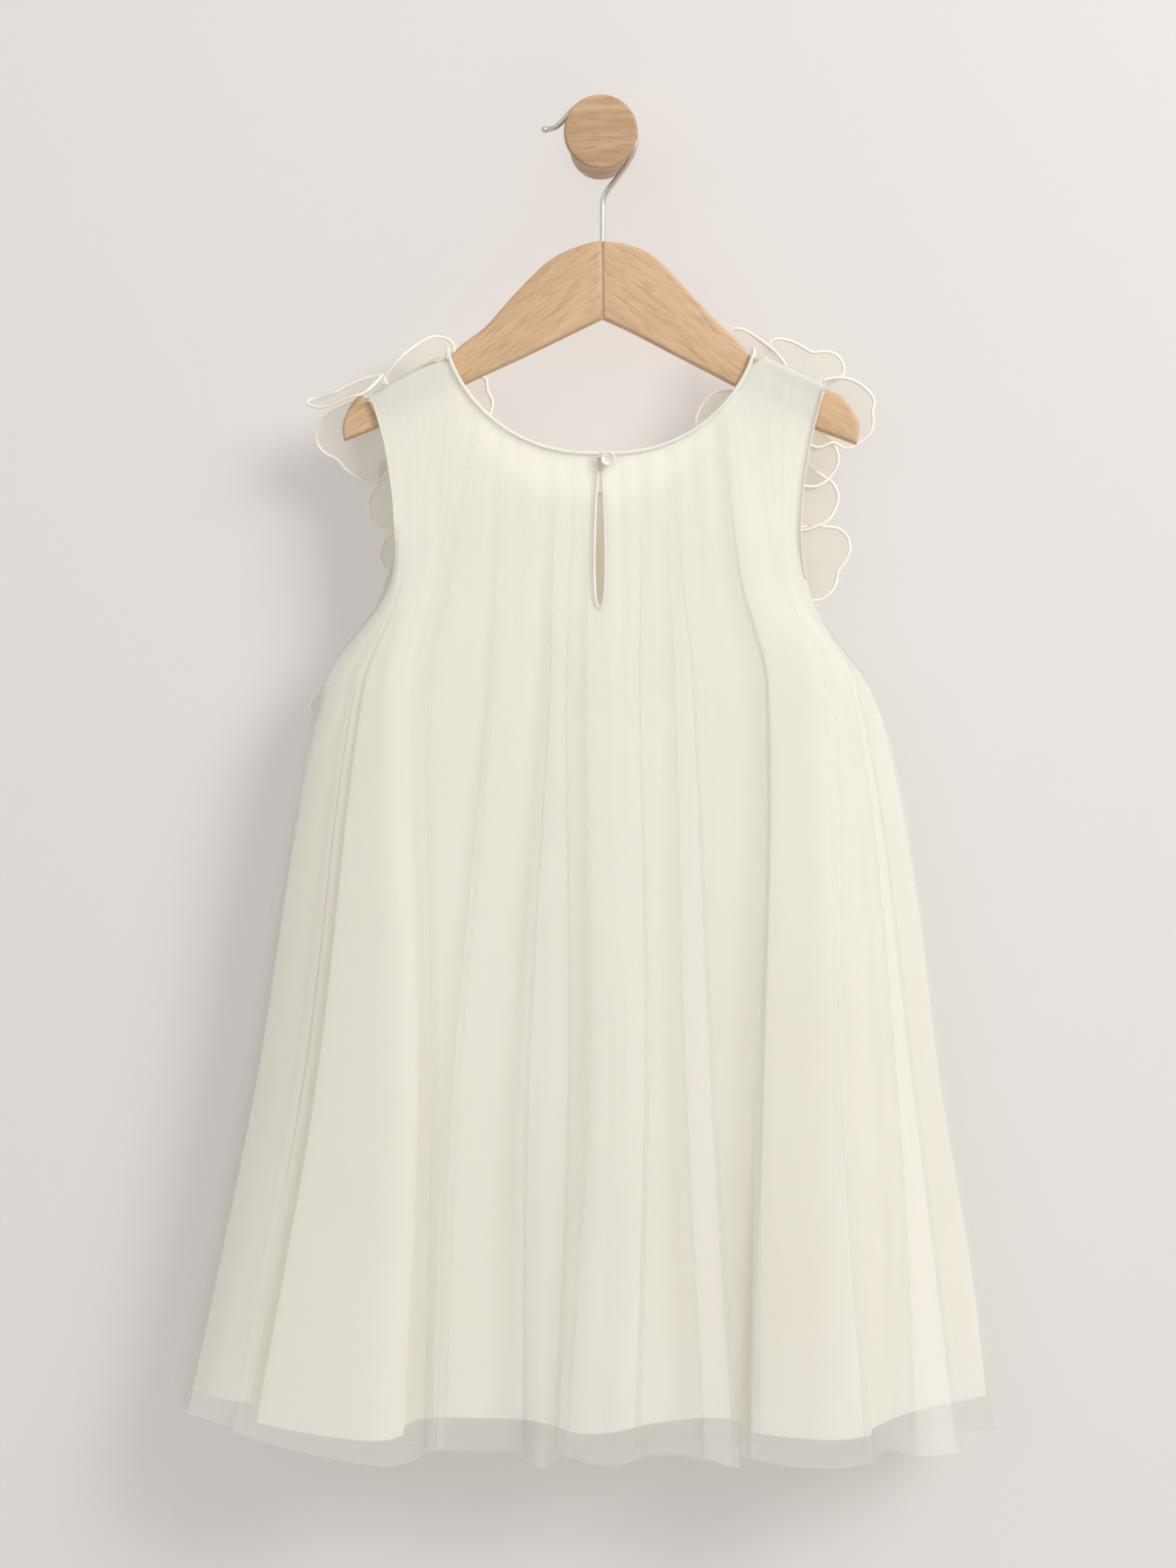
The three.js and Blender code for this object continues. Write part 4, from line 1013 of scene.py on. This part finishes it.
# ---------------------------------------------------------------- petals
PETALS = {
    "left_shoulder": [
        (-127.1, -139.7), (-123.7, -134), (-117.4, -127.1), (-111.1, -121.4), (-104.8, -116.8),
        (-98.5, -113.9), (-92.2, -114.5), (-87.6, -117.4), (-86.5, -122.5), (-92.2, -132.5),
        (-104.8, -141.5), (-117.4, -148),
    ],
    "left_cap": [
        (-153.4, -156.3), (-160.3, -160.3), (-164.9, -166.6), (-167.2, -173.5), (-165.5, -179.8),
        (-160.9, -184.3), (-155.1, -187.2), (-150.6, -192.4), (-144.8, -196.9), (-138, -199.8),
        (-130, -199.2), (-121.9, -188.9), (-115.1, -171.8), (-121.9, -154.6), (-139.1, -151.1),
    ],
    "left_armhole_upper": [
        (-124.8, -186.6), (-128.8, -191.8), (-130, -199.8), (-134.5, -207.2), (-136.3, -215.3),
        (-134.5, -222.1), (-129.4, -226.7), (-121.4, -228.4), (-110.5, -223.3), (-104.8, -206.1),
        (-108.2, -191.8), (-117.4, -185.5),
    ],
    "left_armhole_lower": [
        (-120.8, -229.6), (-126.5, -234.7), (-129.4, -241.6), (-127.7, -248.5), (-121.9, -254.2),
        (-111.6, -256.5), (-101.9, -246.2), (-103.6, -233.6), (-112.8, -227.9),
    ],
    "left_neck": [
        (-67.6, -139.7), (-66.4, -146.6), (-63.5, -153.4), (-64.7, -159.7), (-68.1, -164.9),
        (-76.1, -167.2), (-86.4, -164.9), (-93.3, -157.4), (-86.4, -147.7), (-77.3, -139.7),
    ],
    "left_side": [
        (-162, -322.9), (-168.3, -327.5), (-170.6, -332.6), (-167.7, -338.3), (-160.9, -340.6),
        (-153.4, -337.8), (-150.6, -329.8), (-154.6, -324),
    ],
    "right_shoulder_inner": [
        (72.7, -120.2), (74.4, -114.5), (78.4, -110.5), (84.2, -111.1), (91, -115.1),
        (97.9, -120.2), (104.2, -126), (109.9, -136.3), (101.3, -142), (88.7, -136.3),
        (78.4, -129.4),
    ],
    "right_shoulder_outer": [
        (107.1, -132.2), (102.5, -126), (99, -120.2), (101.3, -116.8), (106.5, -116.2),
        (112.8, -117.9), (118.5, -120.8), (124.2, -124.2), (131.1, -123.7), (137.4, -124.8),
        (142, -129.4), (143.1, -136.3), (138.5, -140.8), (128.8, -144.3), (117.4, -143.1),
    ],
    "right_cap": [
        (130, -141.4), (136.8, -139.7), (143.7, -139.7), (150.6, -142), (156.9, -146.6),
        (160.9, -152.9), (159.7, -159.2), (160.3, -166), (158, -172.3), (152.9, -176.9),
        (144.8, -180.9), (136.8, -177.5), (127.1, -180.3), (115.6, -171.8), (113.9, -157.4),
        (119.7, -146),
    ],
    "right_armhole_upper": [
        (128.8, -170.6), (134.5, -175.8), (138.5, -181.5), (139.7, -187.8), (137.4, -194.1),
        (133.4, -199.2), (126, -203.2), (115.6, -201.5), (107.1, -193.5), (105.9, -180.3),
        (113.9, -171.8),
    ],
    "right_armhole_middle": [
        (117.4, -186.6), (123.7, -192.4), (130.5, -196.9), (136.8, -201.5), (139.7, -209),
        (138, -216.4), (134, -222.7), (126.5, -226.7), (116.8, -229), (107.1, -224.4),
        (101.3, -211.8), (102.5, -195.8), (109.3, -187.8),
    ],
    "right_armhole_lower": [
        (132.8, -226.7), (140.3, -227.9), (145.4, -233), (146.6, -239.9), (143.7, -247.9),
        (139.7, -253), (138.5, -259.9), (135.1, -265.6), (129.4, -269.6), (119.7, -269.6),
        (109.9, -262.2), (104.2, -247.3), (105.9, -233.6), (117.4, -227.3),
    ],
    "right_neck": [
        (75.6, -147.1), (68.1, -147.7), (61.8, -152.3), (57.8, -158.6), (56.1, -164.3),
        (57.8, -170.6), (64.7, -175.2), (75, -175.2), (84.2, -167.2), (87.6, -156.9), (83, -150),
    ],
}
PETAL_BASES = {
    "left_shoulder": (-113, -137), "left_cap": (-122, -166), "left_armhole_upper": (-108, -200),
    "left_armhole_lower": (-104, -240), "left_neck": (-88, -157), "left_side": (-153, -332),
    "right_shoulder_inner": (101, -136), "right_shoulder_outer": (119, -140),
    "right_cap": (119, -160), "right_armhole_upper": (108, -184),
    "right_armhole_middle": (104, -208), "right_armhole_lower": (106, -246),
    "right_neck": (85, -160),
}
PETAL_RINGS = 9


def petal_mesh(name, outline, base, bulge):
    """A membrane from base to the outline, and the cord that is sewn round its edge."""
    outline = np.asarray(outline, float)
    base = np.asarray(base, float)
    count = len(outline)
    middle = outline.mean(axis=0)
    normal = np.zeros(3)
    for a, b in zip(outline, np.roll(outline, -1, axis=0)):
        normal += np.cross(a - middle, b - middle)
    area = np.linalg.norm(normal) / 2
    normal /= 2 * area
    vertices, faces = [base], []
    for ring in range(1, PETAL_RINGS + 1):
        share = ring / PETAL_RINGS
        lift = bulge * math.sin(math.pi * share) * normal
        vertices += [base + (p - base) * share + lift for p in outline]
    for k in range(count):
        m = (k + 1) % count
        faces.append((0, 1 + k, 1 + m))
        for ring in range(PETAL_RINGS - 1):
            a, b = 1 + ring * count, 1 + (ring + 1) * count
            faces.append((a + k, b + k, b + m, a + m))
    membrane = mesh_object(f"petal_{name}_organza", vertices, faces, ORGANZA)
    clean(membrane)
    edge = tube(f"petal_{name}_cord", outline, 0.85, CORD, sides=8, closed=True)
    spans = sorted(np.ptp(outline, axis=0))[1:]
    cut = (spans[0] * MM, spans[1] * MM, area * MM**2)
    return membrane, edge, cut


def flat_petal(name):
    low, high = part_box(f"petal_{name}")
    base_x, base_z = PETAL_BASES[name]
    outline = curve_through([(x, 0, z) for x, z in PETALS[name]], 6, closed=True)
    reach = np.hypot(outline[:, 0] - base_x, outline[:, 2] - base_z)
    start, end = low.y / MM + 0.5, high.y / MM
    turn = np.linspace(0, 2 * math.pi, len(outline), endpoint=False)
    wave = 0.5 * np.sin(3 * turn + len(name))
    outline[:, 1] = start + (end - start) * reach / reach.max() + wave
    return petal_mesh(name, outline, (base_x, start, base_z), 0.8)


OVER_ARM_OUTLINE = [
    (-127, -55, -139.8), (-131.5, -53, -140.4), (-136.3, -52, -141.2), (-147, -51, -145.5),
    (-157.7, -50.5, -150.8), (-164, -51, -152.8), (-169.5, -52, -154.2), (-171, -54, -156.3),
    (-166, -56.5, -158.4), (-161, -58, -158.6), (-153, -61, -156.2), (-148, -63, -154.2),
    (-143.4, -65, -153.1), (-138.5, -66, -151.8), (-134, -65.5, -148.5), (-130.5, -61, -144.5),
    (-128.3, -57, -141.5),
]

over_outline = curve_through(OVER_ARM_OUTLINE, 6, closed=True)
petals = {name: flat_petal(name) for name in PETALS}
petals["left_over_arm"] = petal_mesh("left_over_arm", over_outline, (-136, -57.5, -145.5), 0.6)
for name, (membrane, edge, _) in petals.items():
    keep(membrane, "petal_organza", f"petal_{name}")
    keep(edge, "petal_organza")

knot_low, knot_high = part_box("petal_knot")
knot_centre = (knot_low + knot_high) / 2 / MM
coil = []
for i in range(60):
    turn = 2 * math.pi * i / 14
    height = (i / 59 - 0.5) * 2.2
    radius = 1.15 * math.cos(height / 1.6)
    coil.append((knot_centre.x + radius * math.cos(turn), knot_centre.y + height,
                 knot_centre.z + radius * math.sin(turn)))
keep(tube("knot_thread", coil, 0.5, CORD, sides=8), "petal_organza", "petal_knot")

# ---------------------------------------------------------------- stage, lights, camera
scene = bpy.context.scene
scene.view_settings.view_transform = "Standard"


def plane(name, corners, material):
    mesh = bpy.data.meshes.new(name)
    mesh.from_pydata(corners, [], [(0, 1, 2, 3)])
    mesh.materials.append(material)
    obj = linked(name, mesh)
    return obj


def wall_material():
    """Plain paint that glows a little, so that shadows on it stay pale. From behind it isn't
    there, so that the dress's other side can be seen."""
    nodes = Nodes("wall_paint")
    paint = nodes.paint(3.0, rgba(0.46, 0.44, 0.43), rgba(0.46, 0.445, 0.435))
    lift = nodes.add("ShaderNodeEmission", {"Color": rgba(1.0, 0.955, 0.93), "Strength": 0.26})
    lit = nodes.add("ShaderNodeAddShader", {0: paint.outputs[0], 1: lift.outputs[0]})
    clear = nodes.add("ShaderNodeBsdfTransparent")
    behind = nodes.add("ShaderNodeNewGeometry").outputs["Backfacing"]
    return nodes.surface(nodes.mix_shaders(behind, lit, clear))


def floor_material():
    nodes = Nodes("floor_paint")
    return nodes.surface(nodes.paint(2.0, rgba(0.58, 0.56, 0.545), rgba(0.61, 0.59, 0.575)))


ROOM_HALF, FLOOR_Z, WALL_TOP = 4.0, -1.4, 2.6
FLOOR_FRONT, FLOOR_BACK = -5.0, 4.0
WALL_Y = 0.0006  # just behind the peg's back
wall = plane(
    "wall",
    [(-ROOM_HALF, WALL_Y, FLOOR_Z), (ROOM_HALF, WALL_Y, FLOOR_Z), (ROOM_HALF, WALL_Y, WALL_TOP),
     (-ROOM_HALF, WALL_Y, WALL_TOP)],
    wall_material(),
)
wall.visible_shadow = False
plane(
    "floor",
    [(-ROOM_HALF, FLOOR_FRONT, FLOOR_Z), (ROOM_HALF, FLOOR_FRONT, FLOOR_Z),
     (ROOM_HALF, FLOOR_BACK, FLOOR_Z), (-ROOM_HALF, FLOOR_BACK, FLOOR_Z)],
    floor_material(),
)


def area_light(name, place, target, size, power, colour):
    data = bpy.data.lights.new(name, "AREA")
    data.shape = "RECTANGLE"
    data.size, data.size_y = size
    data.energy = power
    data.color = colour
    obj = linked(name, data)
    obj.location = place
    obj.rotation_euler = (Vector(target) - Vector(place)).to_track_quat("-Z", "Y").to_euler()


CENTRE = (0, -0.05, -0.4)
area_light("key", (1.7, -1.85, 1.1), CENTRE, (1.2, 1.2), 67, (1.0, 0.985, 0.965))
area_light("fill", (-1.8, -3.0, 0.6), CENTRE, (2.6, 2.6), 19, (1.0, 0.99, 0.98))
area_light("behind", (0.8, 2.6, 0.6), CENTRE, (2.0, 2.0), 26, (1.0, 0.99, 0.98))

world = bpy.data.worlds.new("room")
world.use_nodes = True
sky = world.node_tree.nodes["Background"]
sky.inputs["Color"].default_value = rgba(1.0, 0.985, 0.97)
sky.inputs["Strength"].default_value = 0.5
scene.world = world

camera_data = bpy.data.cameras.new("camera")
camera_data.sensor_width = 36
VIEW_HEIGHT, VIEW_DISTANCE = 0.916, 2.4  # what the image takes in at the hanger's plane
camera_data.lens = camera_data.sensor_width * VIEW_DISTANCE / VIEW_HEIGHT
camera = linked("camera", camera_data)
camera.location = (-0.0074, MID_Y * MM - VIEW_DISTANCE, -0.378)
camera.rotation_euler = (math.radians(90), 0, 0)
scene.camera = camera
